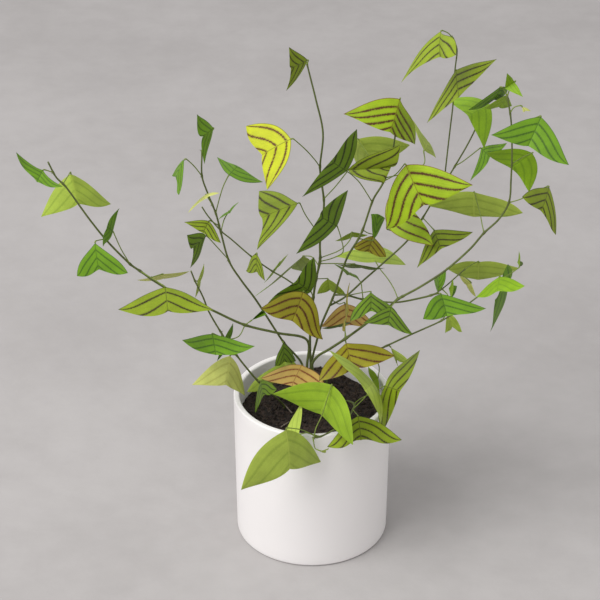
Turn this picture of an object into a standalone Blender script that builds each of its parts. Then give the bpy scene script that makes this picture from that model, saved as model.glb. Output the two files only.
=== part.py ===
"""A potted butterfly wing plant: a white pot, dark soil and nine leafy stems."""

import math
import random

import bmesh
import bpy
from mathutils import Vector

# Driving sizes, in metres
POT_RIM_RADIUS = 0.0600
POT_FOOT_RADIUS = 0.0587
POT_HEIGHT = 0.1220
POT_WALL = 0.0046
POT_FLOOR = 0.0060
POT_FOOT_ROUNDING = 0.0020
POT_LIP_ROUNDING = 0.0008
POT_SIDES = 48

SOIL_LEVEL = 0.1030
SOIL_BOTTOM = 0.0063
SOIL_SIDES = 32
SOIL_RINGS = 4
SOIL_ROUGHNESS = 0.0012
MOUND_HEIGHT = 0.0085
MOUND_WIDTH = 0.020
MOUND_PLACE = (0.004, 0.044)
GAP = 0.0003

STEM_DEPTH_IN_SOIL = 0.030
STEM_CLEAR_OF_SOIL = 0.0025
HOLE_CLEARANCE = 0.0006
HOLE_SIDES = 12
STEM_SIDES = 6
PETIOLE_RADIUS = 0.00062
PETIOLE_NECK = 0.0016
PETIOLE_IN_STEM = 0.0003
BLADE_THICKNESS = 0.0007
MIDRIB_SHARE = 0.60
LEAD_BULGE = 0.060
TRAIL_BULGE = 0.045
BLADE_ARCH = 0.045
LARGE_WING = 0.036
WING_ALLOWANCE = 1.04

POT_COLOUR = (0.86, 0.85, 0.85)
SOIL_COLOUR = (0.030, 0.020, 0.014)
LEAFY_STEMS = (
    ("stem_far_left", (0.16, 0.36, 0.05)),
    ("stem_low_left", (0.30, 0.47, 0.10)),
    ("stem_left", (0.18, 0.38, 0.06)),
    ("stem_centre", (0.28, 0.40, 0.07)),
    ("stem_right_centre", (0.26, 0.44, 0.07)),
    ("stem_right", (0.20, 0.42, 0.07)),
    ("stem_low_right", (0.22, 0.44, 0.06)),
    ("stem_front", (0.32, 0.52, 0.10)),
    ("stem_short", (0.34, 0.30, 0.11)),
)

# The photograph's camera, found from the pot's edges. Its picture is 600 by 600 pixels.
PICTURE_CENTRE = 300.0
FOCAL_PIXELS = 2150.0
CAMERA_DISTANCE = 1.600
CAMERA_TILT = math.radians(30.6)
CAMERA_TARGET = Vector((-0.0093, 0.0, 0.2035))
MM = 0.001


def camera_frame():
    """Return the camera's place and its right, up and forward directions."""
    forward = Vector((0.0, math.cos(CAMERA_TILT), -math.sin(CAMERA_TILT)))
    right = Vector((1.0, 0.0, 0.0))
    up = right.cross(forward)
    place = CAMERA_TARGET - forward * CAMERA_DISTANCE
    return place, right, up, forward


EYE, RIGHT, UP, FORWARD = camera_frame()


def ray(pixel):
    """Return the direction from the camera through a pixel of the photograph."""
    across, down = pixel
    direction = FORWARD * FOCAL_PIXELS
    direction = direction + RIGHT * (across - PICTURE_CENTRE)
    direction = direction - UP * (down - PICTURE_CENTRE)
    return direction.normalized()


def at_depth(pixel, behind):
    """Return the point seen at a pixel that lies so many millimetres behind the pot's axis."""
    direction = ray(pixel)
    return EYE + direction * ((behind * MM - EYE.y) / direction.y)


def at_reach(pixel, start, reach, way):
    """Return the point seen at a pixel that lies a given length from start, nearer or farther.

    A level point is the one on the pixel's ray that is closest to start.
    """
    direction = ray(pixel)
    middle = direction.dot(start - EYE)
    miss = (EYE + direction * middle - start).length
    half = math.sqrt(max(reach * reach - miss * miss, 0.0))
    if way == "near":
        half = -half
    if way == "level":
        half = 0.0
    return EYE + direction * (middle + half)


class Stem:
    """A woody stem or side branch: pixels across and down, and millimetres behind the axis."""

    def __init__(self, node, route, low_radius, high_radius):
        self.node = node
        self.route = route
        self.low_radius = low_radius
        self.high_radius = high_radius


class Leaf:
    """One leaf: where its petiole joins, its two wing tips and the notch between them.

    Each is a pixel of the photograph. The words say whether left tip, right tip and notch stand
    nearer to the camera than the joint, or farther away, and wing is a real length in millimetres.
    """

    def __init__(self, name, base, left, right, notch, behind, ways, stalk, wing=None, midrib=None):
        self.name = name
        self.base = base
        self.left = left
        self.right = right
        self.notch = notch
        self.behind = behind
        self.ways = ways.split()
        self.stalk = stalk
        self.wing = wing
        self.midrib = midrib


def stem_table():
    """Return every stem and side branch, from the soil to the tip."""
    return [
        Stem("stem_far_left", [
            (308, 411, 11), (308, 395, 12), (307, 367, 13), (307, 340, 13), (278, 333, 3), (245, 325, -3),
            (214, 311, -10), (164, 287, -18), (140, 271, -22), (130, 264, -24), (108, 242, -29),
            (90, 220, -34), (66, 187, -41), (56, 177, -43), (48, 162, -46),
        ], 1.3, 0.7),
        Stem("stem_low_left", [
            (284, 404, 6), (270, 392, -1), (257, 380, -6), (245, 366, -8), (235, 353, -8),
            (222, 334, -6), (209, 312, -5), (203, 297, -9), (195, 281, -14), (191, 271, -18),
        ], 1.0, 0.65),
        Stem("stem_left", [
            (300, 406, 20), (302, 385, 20), (302, 364, 19), (285, 344, 17), (276, 331, 14), (256, 300, 6),
            (241, 280, -4), (229, 261, -11), (221, 233, -17), (216, 214, -21), (208, 194, -25),
            (202, 176, -28), (202, 150, -32),
        ], 1.1, 0.65),
        Stem("stem_centre", [
            (314, 405, 20), (313, 385, 20), (311, 367, 20), (310, 337, 20), (313, 300, 18),
            (316, 280, 15), (320, 260, 12), (320, 243, 9), (324, 205, 4), (322, 185, 0),
            (320, 167, -4), (323, 133, -8), (316, 100, -13), (311, 80, -16), (307, 64, -19),
        ], 1.3, 0.65),
        Stem("stem_centre", [
            (313, 300, 18), (303, 291, 21), (286, 279, 24), (272, 271, 25), (252, 257, 23),
            (231, 239, 19), (221, 231, 15), (208, 216, 10), (202, 207, 8),
        ], 0.7, 0.6),
        Stem("stem_right_centre", [
            (319, 400, 27), (315, 378, 27), (312, 362, 27), (317, 340, 26), (322, 323, 24),
            (334, 295, 20), (347, 258, 16), (361, 234, 14), (373, 200, 12), (383, 183, 10),
            (391, 160, 9), (396, 130, 6), (399, 108, 2),
        ], 1.2, 0.7),
        Stem("stem_right_centre", [
            (334, 295, 20), (346, 295, 17), (361, 299, 13), (384, 302, 7), (400, 302, 3),
            (425, 297, -7), (438, 293, -12),
        ], 0.85, 0.85),
        Stem("stem_right_centre", [
            (329, 306, 22), (345, 297, 27), (365, 279, 31), (381, 265, 34), (408, 240, 38),
            (422, 219, 38), (433, 201, 38), (444, 184, 36), (455, 166, 33), (470, 140, 30), (487, 104, 26),
        ], 0.9, 0.65),
        Stem("stem_right_centre", [
            (444, 184, 36), (446, 165, 31), (450, 130, 24), (453, 104, 19), (455, 70, 14),
            (457, 50, 10), (453, 38, 6),
        ], 0.65, 0.6),
        Stem("stem_right_centre", [
            (436, 293.5, -11.5), (447, 285, -3), (456, 277, 6), (464, 270, 13),
        ], 0.55, 0.55),
        Stem("stem_right", [
            (317, 407, 9), (314, 385, 10), (312, 365, 10), (318, 356, 9), (328, 350, 7), (345, 339, 3),
            (363, 326, -1), (390, 306, -5), (398, 299, -7), (420, 287, -11), (446, 270, -15),
            (470, 249, -19), (484, 233, -22), (499, 219, -25), (509, 202, -28), (511, 180, -30),
            (512, 150, -32), (511, 120, -34), (507, 95, -35),
        ], 1.3, 0.65),
        Stem("stem_low_right", [
            (325, 401, 17), (326, 385, 16), (332, 371, 14), (350, 362, 10), (370, 353, 6), (384, 347, 4),
            (411, 334.5, -2), (428, 327, -4), (441, 321, -6), (458, 311, -9), (476, 298, -12),
            (497, 281, -10),
        ], 1.0, 0.6),
        Stem("stem_front", [
            (338, 411, 2), (340, 404, -3), (347, 401, -9), (354, 404, -18), (353, 410, -29),
            (346, 420, -47), (335, 429, -64), (322, 436, -74), (313, 438, -80),
        ], 1.0, 0.7),
        Stem("stem_short", [(302, 411, 5), (303, 395, 5), (303, 380, 4), (302, 369, 3)], 0.9, 0.7),
    ]


def far_left_leaves():
    """Return the leaves of the far left stem."""
    return [
        Leaf("tip", base=(43, 170), left=(16, 152), right=(63, 186.5), notch=(37, 182),
             behind=-48, ways="near near near", stalk=[(53, 173)]),
        Leaf("pale", base=(71, 174), left=(41, 217), right=(111, 204), notch=(78, 204),
             behind=-12, ways="near far near", stalk=[(63, 184), (68, 176)]),
        Leaf("upright", base=(113, 231.5), left=(119.5, 208), right=(103, 247), notch=(107, 227),
             behind=-32, ways="near near near", stalk=[(130, 264), (121, 249)]),
        Leaf("dark", base=(95, 243), left=(77, 276), right=(128, 273), notch=(99, 269.5),
             behind=-40, ways="far near far", stalk=[(105, 239)]),
        Leaf("large", base=(165, 287), left=(118, 309.5), right=(214, 310), notch=(168, 311),
             behind=-32, ways="near near near", stalk=[(140, 271), (153, 279)]),
        Leaf("yellow", base=(163, 274), left=(137, 280), right=(190, 271), notch=(163, 279),
             behind=-10, ways="far far far", stalk=[(150, 278)]),
        Leaf("low", base=(212, 334), left=(182, 340), right=(255, 346), notch=(216, 355),
             behind=-34, ways="near near near", stalk=[(245, 325), (239, 336), (228, 339)]),
        Leaf("folded", base=(252, 320), left=(265, 308), right=(266, 315), notch=(263, 312),
             behind=-4, ways="near near near", stalk=[(245, 325)], wing=15),
    ]


def low_left_leaves():
    """Return the leaves of the low left stem."""
    return [
        Leaf("narrow", base=(197.5, 281), left=(195, 298), right=(204, 263), notch=(201, 281),
             behind=-8, ways="far far far", stalk=[(195, 281)]),
        Leaf("behind", base=(223, 341), left=(217, 361), right=(233, 323), notch=(229, 342),
             behind=4, ways="far far far", stalk=[(221, 332)]),
        Leaf("yellow", base=(230, 356), left=(192, 385), right=(245, 396), notch=(226, 385),
             behind=-22, ways="near far near", stalk=[(237, 355)]),
        Leaf("inner", base=(261, 381), left=(255, 413), right=(277, 389), notch=(263, 396),
             behind=-14, ways="far near near", stalk=[(258, 381)]),
    ]


def left_leaves():
    """Return the leaves of the left stem."""
    return [
        Leaf("top", base=(213.5, 128), left=(197, 114), right=(204.5, 164), notch=(203, 136),
             behind=-40, ways="near near near", stalk=[(202, 152), (208, 139)]),
        Leaf("small", base=(184, 160), left=(172, 176), right=(179, 195), notch=(176, 179),
             behind=-42, ways="far near far", stalk=[(202, 176), (194, 166)]),
        Leaf("boomerang", base=(206, 194.5), left=(188, 213), right=(220, 193), notch=(207, 198),
             behind=-38, ways="near near near", stalk=[(212, 205)]),
        Leaf("crescent", base=(229, 175), left=(263, 182), right=(217, 157), notch=(238, 166),
             behind=-22, ways="far far far", stalk=[(216, 213), (219, 200), (223, 187)]),
        Leaf("edge", base=(229, 211), left=(218, 220), right=(239, 202), notch=(230, 213),
             behind=-8, ways="near near near", stalk=[(221, 232), (224, 220)]),
        Leaf("middle", base=(209, 221), left=(184, 222), right=(221, 243), notch=(203, 233),
             behind=-28, ways="near near near", stalk=[(218, 226)]),
        Leaf("striped", base=(206, 236), left=(187, 235), right=(190, 268), notch=(193, 247),
             behind=-36, ways="near far near", stalk=[(228, 260), (218, 248)]),
        Leaf("low", base=(283, 343), left=(275, 366), right=(296, 361), notch=(284, 362),
             behind=8, ways="near far near", stalk=[(284, 342)]),
    ]


def centre_leaves():
    """Return the leaves of the centre stem."""
    return [
        Leaf("top", base=(307.5, 60), left=(289, 47), right=(286, 91), notch=(291, 68),
             behind=-22, ways="near far near", stalk=[(307, 64)]),
        Leaf("upper", base=(291, 139), left=(246, 126), right=(267, 190), notch=(262, 155),
             behind=-36, ways="far near far", stalk=[(320, 167), (315, 160), (306, 150)]),
        Leaf("diagonal", base=(347, 171), left=(357, 129), right=(302, 197), notch=(331, 161),
             behind=-24, ways="near near near", stalk=[(325, 199), (335, 187)]),
        Leaf("dark", base=(337, 226), left=(348, 190), right=(296, 254), notch=(320, 216),
             behind=-22, ways="near near near", stalk=[(322, 262), (333, 258), (343, 252), (341, 238)]),
        Leaf("folded", base=(298, 203), left=(259, 191), right=(257, 250), notch=(262, 218),
             behind=-12, ways="far near near", stalk=[(320, 236), (313, 226), (305, 214)]),
        Leaf("upright", base=(311, 292), left=(314, 257), right=(268, 303), notch=(296, 281),
             behind=8, ways="near near near", stalk=[(313, 298)]),
        Leaf("large", base=(303, 292), left=(261, 308), right=(323, 339.5), notch=(292, 321),
             behind=-6, ways="near far near", stalk=[(313, 306), (309, 298)]),
        Leaf("far_pale", base=(303, 256), left=(254, 297), right=(309, 272), notch=(291, 267),
             behind=34, ways="far far far", stalk=[(320, 266), (312, 257)]),
        Leaf("far_small", base=(280, 262), left=(264, 283), right=(288, 254), notch=(277, 268),
             behind=36, ways="far far far", stalk=[(273, 271)]),
        Leaf("side", base=(257, 254.5), left=(246, 271), right=(265, 281), notch=(257, 272),
             behind=12, ways="far near near", stalk=[(252, 257)]),
        Leaf("far_arch", base=(328, 279), left=(317, 294), right=(346, 295), notch=(330, 290),
             behind=34, ways="far far far", stalk=[(317, 279)]),
        Leaf("far_crescent", base=(352, 232), left=(335, 241), right=(368, 235), notch=(353, 237),
             behind=36, ways="far far far", stalk=[(321, 258), (340, 250), (350, 240)]),
        Leaf("far_edge", base=(355, 264), left=(337, 264), right=(385, 268), notch=(362, 268),
             behind=25, ways="far far far", stalk=[(321, 264), (335, 263.5)]),
    ]


def right_centre_leaves():
    """Return the leaves of the right centre stem."""
    return [
        Leaf("pale_behind", base=(358, 139), left=(356, 163), right=(410, 145), notch=(374, 160),
             behind=28, ways="far far far", stalk=[(385, 178), (372, 160)]),
        Leaf("yellow", base=(347.5, 170), left=(384, 183), right=(400, 145), notch=(391, 167),
             behind=-14, ways="level near near", stalk=[(372, 202), (360, 183), (352, 175)]),
        Leaf("top_left", base=(400, 99), left=(343.5, 114), right=(415, 144.5), notch=(390, 132),
             behind=-6, ways="near far near", stalk=[(399, 110)]),
        Leaf("narrow", base=(424, 150), left=(436, 158), right=(411, 118), notch=(428, 141),
             behind=32, ways="far far far", stalk=[(385, 178), (410, 172), (424, 164)]),
        Leaf("largest", base=(406, 165), left=(386, 229), right=(473, 185), notch=(424, 205),
             behind=-10, ways="far near near", stalk=[(385, 182), (396, 174)]),
        Leaf("small", base=(374, 239), left=(385, 218), right=(371, 214), notch=(378, 214),
             behind=22, ways="far near near", stalk=[(359, 239), (368, 240)]),
        Leaf("brown", base=(373, 236), left=(352, 247), right=(386, 257), notch=(368, 252),
             behind=32, ways="near far near", stalk=[(363, 230), (368, 233)]),
        Leaf("dark_low", base=(371, 292), left=(350, 321), right=(400, 322), notch=(371, 311),
             behind=-12, ways="near near near", stalk=[(348, 295), (360, 293)]),
        Leaf("dark_right", base=(441, 294), left=(423, 319), right=(486, 308.5), notch=(447, 316),
             behind=-18, ways="near near near", stalk=[(438, 293)]),
        Leaf("bud_leaf", base=(438, 292), left=(446, 271), right=(434, 280), notch=(440, 275),
             behind=-6, ways="near far near", stalk=[(431, 295)]),
        Leaf("small_right", base=(451, 298), left=(457, 286), right=(453, 279), notch=(449, 288),
             behind=-10, ways="far near far", stalk=[(442, 289), (447, 294)]),
        Leaf("wide_pale", base=(479, 262), left=(446, 268), right=(519, 268), notch=(478, 280),
             behind=24, ways="far far far", stalk=[(464, 270), (471, 265)]),
        Leaf("pale_strip", base=(471, 283), left=(459, 274), right=(476, 297), notch=(466, 285),
             behind=12, ways="far far far", stalk=[(459, 274.5), (466, 278)]),
        Leaf("far_edge", base=(350, 273), left=(334, 264), right=(359, 279), notch=(347, 275),
             behind=12, ways="near near near", stalk=[(363, 299), (362, 290), (360, 281)]),
        Leaf("far_pink", base=(345, 304), left=(321, 327), right=(371, 321), notch=(346, 326),
             behind=50, ways="near far near", stalk=[(332, 300), (339, 304)]),
        Leaf("tallest", base=(441, 31), left=(401, 83), right=(456, 55), notch=(440, 57),
             behind=2, ways="near near near", stalk=[(453, 38), (448, 33)]),
        Leaf("tall_striped", base=(456, 70), left=(427, 123), right=(497, 59), notch=(459, 97),
             behind=4, ways="near near near", stalk=[(455, 75)]),
        Leaf("plain", base=(490, 105), left=(450, 99), right=(484, 149), notch=(468, 116),
             behind=20, ways="far near near", stalk=[(487, 106)]),
        Leaf("dark_high", base=(481, 148), left=(470, 181), right=(507, 143), notch=(490, 157),
             behind=16, ways="near near near", stalk=[(455, 166), (462, 162), (470, 156)]),
        Leaf("behind_largest", base=(388, 228), left=(433, 246), right=(400, 182), notch=(414, 211),
             behind=14, ways="near far near", stalk=[(412, 235), (400, 233)]),
        Leaf("olive", base=(434, 230), left=(417, 268), right=(473, 232), notch=(441, 249),
             behind=20, ways="near near near", stalk=[(423, 218)]),
    ]


def right_leaves():
    """Return the leaves of the right stem."""
    return [
        Leaf("high", base=(541, 117), left=(491, 135), right=(569, 165), notch=(528, 146),
             behind=-42, ways="near near near", stalk=[(511, 132), (526, 122)]),
        Leaf("plain", base=(532, 153), left=(487, 153), right=(529, 192), notch=(510, 168),
             behind=-14, ways="near far far", stalk=[(512, 164), (523, 157)]),
        Leaf("right_tip", base=(549, 187), left=(522, 197), right=(556, 235), notch=(541, 211),
             behind=-38, ways="near far near", stalk=[(509, 203), (521, 199), (536, 192)]),
        Leaf("wide_pale", base=(474, 192), left=(428, 206), right=(523, 213), notch=(474, 217),
             behind=14, ways="far far far", stalk=[(484, 233), (482, 224), (480, 213), (477, 202)]),
        Leaf("top_dark", base=(500, 87), left=(468, 110), right=(507, 92), notch=(494, 100),
             behind=-36, ways="far far far", stalk=[(507, 96), (504, 90)]),
        Leaf("top_light", base=(507, 95), left=(485, 108), right=(512, 106), notch=(499, 107),
             behind=-28, ways="near far far", stalk=[(508, 98)]),
        Leaf("top_small", base=(514, 82), left=(507, 73), right=(523, 97), notch=(505, 88.5),
             behind=-36, ways="near near near", stalk=[(507, 96), (510, 89)]),
        Leaf("tiny", base=(522.5, 107), left=(523, 112), right=(531, 111), notch=(525, 111),
             behind=-36, ways="near far near", stalk=[(511, 113), (514, 107.5), (519, 105)]),
        Leaf("far_pale", base=(376, 262), left=(406, 265), right=(334, 257), notch=(378, 248),
             behind=50, ways="far far far", stalk=[(398, 299), (394, 289), (388, 279), (380, 269)]),
        Leaf("dark_middle", base=(391, 307), left=(363, 323), right=(413, 334.5), notch=(388, 325),
             behind=-28, ways="near near near", stalk=[(402, 297), (397, 300)]),
        Leaf("yellow_low", base=(346, 343), left=(319, 381), right=(395, 356), notch=(352, 367),
             behind=2, ways="near near near", stalk=[(345, 339)]),
        Leaf("edge_low", base=(344, 323), left=(321, 328), right=(352, 321), notch=(338, 327),
             behind=12, ways="far far far", stalk=[(345, 339), (345, 331)]),
        Leaf("brown_edge", base=(346, 318), left=(345, 331), right=(350, 282), notch=(349, 312),
             behind=6, ways="near near near", stalk=[(346, 338), (345, 329)]),
    ]


def low_right_leaves():
    """Return the leaves of the low right stem."""
    return [
        Leaf("bright", base=(500, 276.5), left=(476, 297), right=(525, 286), notch=(497, 291.5),
             behind=-12, ways="near near near", stalk=[(496, 281)]),
        Leaf("striped", base=(508, 284), left=(508, 264), right=(490, 332), notch=(495, 300),
             behind=6, ways="level far near", stalk=[(480, 295), (495, 288)]),
        Leaf("ragged", base=(448, 312), left=(445, 333), right=(462, 332), notch=(452, 327),
             behind=2, ways="far near near", stalk=[(441, 321), (445, 316)]),
        Leaf("bud", base=(519.5, 266.5), left=(522.5, 262), right=(519, 251), notch=(517.5, 262),
             behind=4, ways="far far far", stalk=[(497, 281), (510, 274)]),
        Leaf("pale", base=(391, 347.5), left=(400, 369), right=(408.5, 361), notch=(397, 360),
             behind=10, ways="far near near", stalk=[(386, 346)]),
        Leaf("inner", base=(378, 378), left=(368, 366), right=(380, 395), notch=(373, 382),
             behind=12, ways="far far far", stalk=[(372, 352), (379, 366)]),
    ]


def front_leaves():
    """Return the leaves of the front stem."""
    return [
        Leaf("bright", base=(332, 385), left=(272, 394), right=(353, 445), notch=(320, 414),
             behind=-68, ways="far near far", stalk=[(314, 438), (316, 428), (322, 415)]),
        Leaf("hanging", base=(286, 430), left=(241, 490), right=(321, 462), notch=(290, 469),
             behind=-92, ways="far far far", stalk=[(317, 437), (302, 430)]),
        Leaf("behind", base=(299, 434), left=(301, 403), right=(276, 462), notch=(286, 431),
             behind=-78, ways="far far far", stalk=[(320, 436), (307, 433)]),
        Leaf("upright", base=(385, 386), left=(381, 437), right=(420, 350), notch=(400, 391),
             behind=-34, ways="far far near", stalk=[(354, 404), (360, 399), (368, 395), (377, 390)], wing=44),
        Leaf("long_pale", base=(374, 383), left=(329, 350), right=(381, 424), notch=(365, 391),
             behind=-30, ways="near near near", stalk=[(353, 409), (366, 396)]),
        Leaf("low_striped", base=(358, 416), left=(327, 447), right=(402, 440), notch=(361, 440),
             behind=-52, ways="near near near", stalk=[(353, 410)]),
        Leaf("small", base=(321, 451), left=(325, 453), right=(329, 448), notch=(326, 450.5),
             behind=-84, ways="far near far", stalk=[(313, 438), (315, 448)]),
    ]


def short_leaves():
    """Return the leaves of the short stem."""
    return [
        Leaf("pink", base=(302, 365), left=(261, 378), right=(325, 385), notch=(292, 386),
             behind=0, ways="far near near", stalk=[(302, 369)]),
        Leaf("under", base=(285, 360), left=(247, 392), right=(300, 374), notch=(284, 376),
             behind=14, ways="level level level", stalk=[(303, 374)]),
    ]


def leaves_of(node):
    """Return the leaves of one leafy stem."""
    tables = {
        "stem_far_left": far_left_leaves,
        "stem_low_left": low_left_leaves,
        "stem_left": left_leaves,
        "stem_centre": centre_leaves,
        "stem_right_centre": right_centre_leaves,
        "stem_right": right_leaves,
        "stem_low_right": low_right_leaves,
        "stem_front": front_leaves,
        "stem_short": short_leaves,
    }
    return tables[node]()


def wing_length(leaf, base):
    """Return the real length of a leaf's wings, from the one that is seen more fully."""
    if leaf.wing is not None:
        return leaf.wing * MM
    seen = 0.0
    for pixel in (leaf.left, leaf.right):
        direction = ray(pixel)
        nearest = EYE + direction * direction.dot(base - EYE)
        seen = max(seen, (nearest - base).length)
    return seen * WING_ALLOWANCE


def leaf_corners(leaf):
    """Return a leaf's joint, left tip, right tip and notch in space, and its wing's length."""
    base = at_depth(leaf.base, leaf.behind)
    wing = wing_length(leaf, base)
    midrib = MIDRIB_SHARE * wing if leaf.midrib is None else leaf.midrib * MM
    left = at_reach(leaf.left, base, wing, leaf.ways[0])
    right = at_reach(leaf.right, base, wing, leaf.ways[1])
    notch = at_reach(leaf.notch, base, midrib, leaf.ways[2])
    return base, left, right, notch, wing


def stem_points(stem):
    """Return the points of a stem in space."""
    points = []
    for across, down, behind in stem.route:
        points.append(at_depth((across, down), behind))
    return points


def stands_in_soil(stem):
    """Tell whether a stem rises from the soil, and isn't a side branch."""
    return stem_points(stem)[0].z < SOIL_LEVEL + 0.010


def branch_start(stems, pixel):
    """Return the place behind the axis of the stem that is seen nearest to a pixel."""
    best = None
    for stem in stems:
        for first, second in zip(stem.route, stem.route[1:]):
            run = Vector((second[0] - first[0], second[1] - first[1]))
            reach = Vector((pixel[0] - first[0], pixel[1] - first[1]))
            share = min(max(reach.dot(run) / run.length_squared, 0.0), 1.0)
            miss = (reach - run * share).length
            if best is None or miss < best[0]:
                here = [a + (b - a) * share for a, b in zip(first, second)]
                best = (miss, here)
    return best[1]


def petiole_points(leaf, stems, corners):
    """Return the points of a petiole, from the blade's joint to inside its stem."""
    base, left, right, notch, wing = corners
    start = branch_start(stems, leaf.stalk[0])
    pixels = [tuple(start[:2])] + list(leaf.stalk[1:]) + [leaf.base]
    lengths = [0.0]
    for first, second in zip(pixels, pixels[1:]):
        lengths.append(lengths[-1] + math.dist(first, second))
    points = []
    for pixel, length in zip(pixels[:-1], lengths):
        share = length / lengths[-1]
        points.append(at_depth(pixel, start[2] + (leaf.behind - start[2]) * share))
    points[0] = points[0] - ((points + [base])[1] - points[0]).normalized() * PETIOLE_IN_STEM
    neck = base + neck_direction(corners, points[-1]) * PETIOLE_NECK
    points = [point for point in points if (point - base).length > PETIOLE_NECK * 2.0 or point is points[0]]
    return [base, neck] + list(reversed(points))


def blade_facing(corners):
    """Return the direction that a blade's upper face looks in."""
    base, left, right, notch, wing = corners
    facing = (left - base).cross(notch - base).normalized()
    facing = facing + (notch - base).cross(right - base).normalized()
    return facing.normalized()


def neck_direction(corners, towards):
    """Return the way in which a petiole leaves its blade: outward, then round to its stem."""
    base, left, right, notch, wing = corners
    midrib = (notch - base).normalized()
    away = (towards - base).normalized()
    over = away.dot(midrib)
    bend = away - midrib * over
    if over > 0.0:
        facing = blade_facing(corners)
        side = 1.0 if away.dot(facing) > 0.0 else -1.0
        bend = bend + facing * side * over
    return (bend * 0.9 - midrib).normalized()


def tube(name, points, radii, sides):
    """Make a closed round tube with a given radius at each of its points."""
    mesh = bpy.data.meshes.new(name)
    shape = bmesh.new()
    across = (points[1] - points[0]).orthogonal().normalized()
    rings = []
    for place, point in enumerate(points):
        before = points[max(place - 1, 0)]
        after = points[min(place + 1, len(points) - 1)]
        along = (after - before).normalized()
        across = (across - along * across.dot(along)).normalized()
        sideways = along.cross(across)
        ring = []
        for side in range(sides):
            turn = 2.0 * math.pi * side / sides
            offset = across * math.cos(turn) + sideways * math.sin(turn)
            ring.append(shape.verts.new(point + offset * radii[place]))
        rings.append(ring)
    for lower, upper in zip(rings, rings[1:]):
        for side in range(sides):
            following = (side + 1) % sides
            shape.faces.new((lower[side], lower[following], upper[following], upper[side]))
    shape.faces.new(list(reversed(rings[0])))
    shape.faces.new(rings[-1])
    bmesh.ops.triangulate(shape, faces=shape.faces)
    shape.to_mesh(mesh)
    shape.free()
    tube_object = bpy.data.objects.new(name, mesh)
    bpy.context.scene.collection.objects.link(tube_object)
    return tube_object


def wing_spots(base, tip, notch, wing, facing, columns):
    """Return the rows of points across one wing, column by column, without the tip."""
    run = (tip - base).normalized()
    inward = notch - base
    inward = (inward - run * inward.dot(run)).normalized()
    spots = []
    for column in range(columns):
        along = column / columns
        swell = 4.0 * along * (1.0 - along) * wing
        lead = base.lerp(tip, along) - inward * LEAD_BULGE * swell
        trail = notch.lerp(tip, along) + inward * TRAIL_BULGE * swell
        lift = facing * BLADE_ARCH * swell
        spots.append([lead + lift, lead.lerp(trail, 0.5) + lift, trail + lift])
    return spots


def blade_surface(corners):
    """Return the points and triangles of a leaf's middle surface, and its outer edge in order."""
    base, left, right, notch, wing = corners
    facing = blade_facing(corners)
    columns = 4 if wing > LARGE_WING else 3
    left_spots = wing_spots(base, left, notch, wing, facing, columns)
    right_spots = wing_spots(base, right, notch, wing, facing, columns)
    points = list(left_spots[0])
    triangles = []
    edges = []
    for tip, spots, turned in ((left, left_spots, False), (right, right_spots, True)):
        inner = [0, 1, 2]
        lead_edge = [0]
        trail_edge = [2]
        for column in spots[1:]:
            outer = list(range(len(points), len(points) + 3))
            points.extend(column)
            for row in range(2):
                quad = (inner[row], inner[row + 1], outer[row + 1], outer[row])
                pair = [(quad[0], quad[1], quad[2]), (quad[0], quad[2], quad[3])]
                triangles.extend(tuple(reversed(face)) if turned else face for face in pair)
            lead_edge.append(outer[0])
            trail_edge.append(outer[2])
            inner = outer
        peak = len(points)
        points.append(tip)
        for row in range(2):
            face = (inner[row], inner[row + 1], peak)
            triangles.append(tuple(reversed(face)) if turned else face)
        edges.append(lead_edge + [peak] + list(reversed(trail_edge)))
    outline = list(reversed(edges[0])) + edges[1][1:-1]
    return points, triangles, outline


def point_normals(points, triangles):
    """Return the direction in which the surface faces at each of its points."""
    normals = [Vector() for point in points]
    for first, second, third in triangles:
        turn = (points[second] - points[first]).cross(points[third] - points[first]).normalized()
        for corner in (first, second, third):
            normals[corner] = normals[corner] + turn
    return [normal.normalized() for normal in normals]


def add_rim(shape, outline, upper, lower, left_side, right_side):
    """Close a blade's edge, with a middle point each side of the petiole's joint."""
    for here, following in zip(outline, outline[1:] + outline[:1]):
        if following == 0:
            shape.faces.new((upper[here], upper[0], left_side))
            shape.faces.new((upper[here], left_side, lower[here]))
            shape.faces.new((left_side, lower[0], lower[here]))
        elif here == 0:
            shape.faces.new((upper[0], upper[following], right_side))
            shape.faces.new((upper[following], lower[following], right_side))
            shape.faces.new((right_side, lower[following], lower[0]))
        else:
            shape.faces.new((upper[here], upper[following], lower[following]))
            shape.faces.new((upper[here], lower[following], lower[here]))


def add_petiole(shape, stalk, ring):
    """Run a four-sided petiole from the ring at the blade's joint to its root in the stem."""
    across = (ring[0].co - ring[2].co).normalized()
    for place in range(1, len(stalk)):
        point = stalk[place]
        along = (point - stalk[place - 1]).normalized()
        if place + 1 < len(stalk):
            along = (along + (stalk[place + 1] - point).normalized()).normalized()
        across = (across - along * across.dot(along)).normalized()
        sideways = along.cross(across)
        following = []
        for offset in (across, sideways, -across, -sideways):
            following.append(shape.verts.new(point + offset * PETIOLE_RADIUS))
        for side in range(4):
            other = (side + 1) % 4
            shape.faces.new((ring[side], ring[other], following[other], following[side]))
        ring = following
    shape.faces.new(ring)


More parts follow.
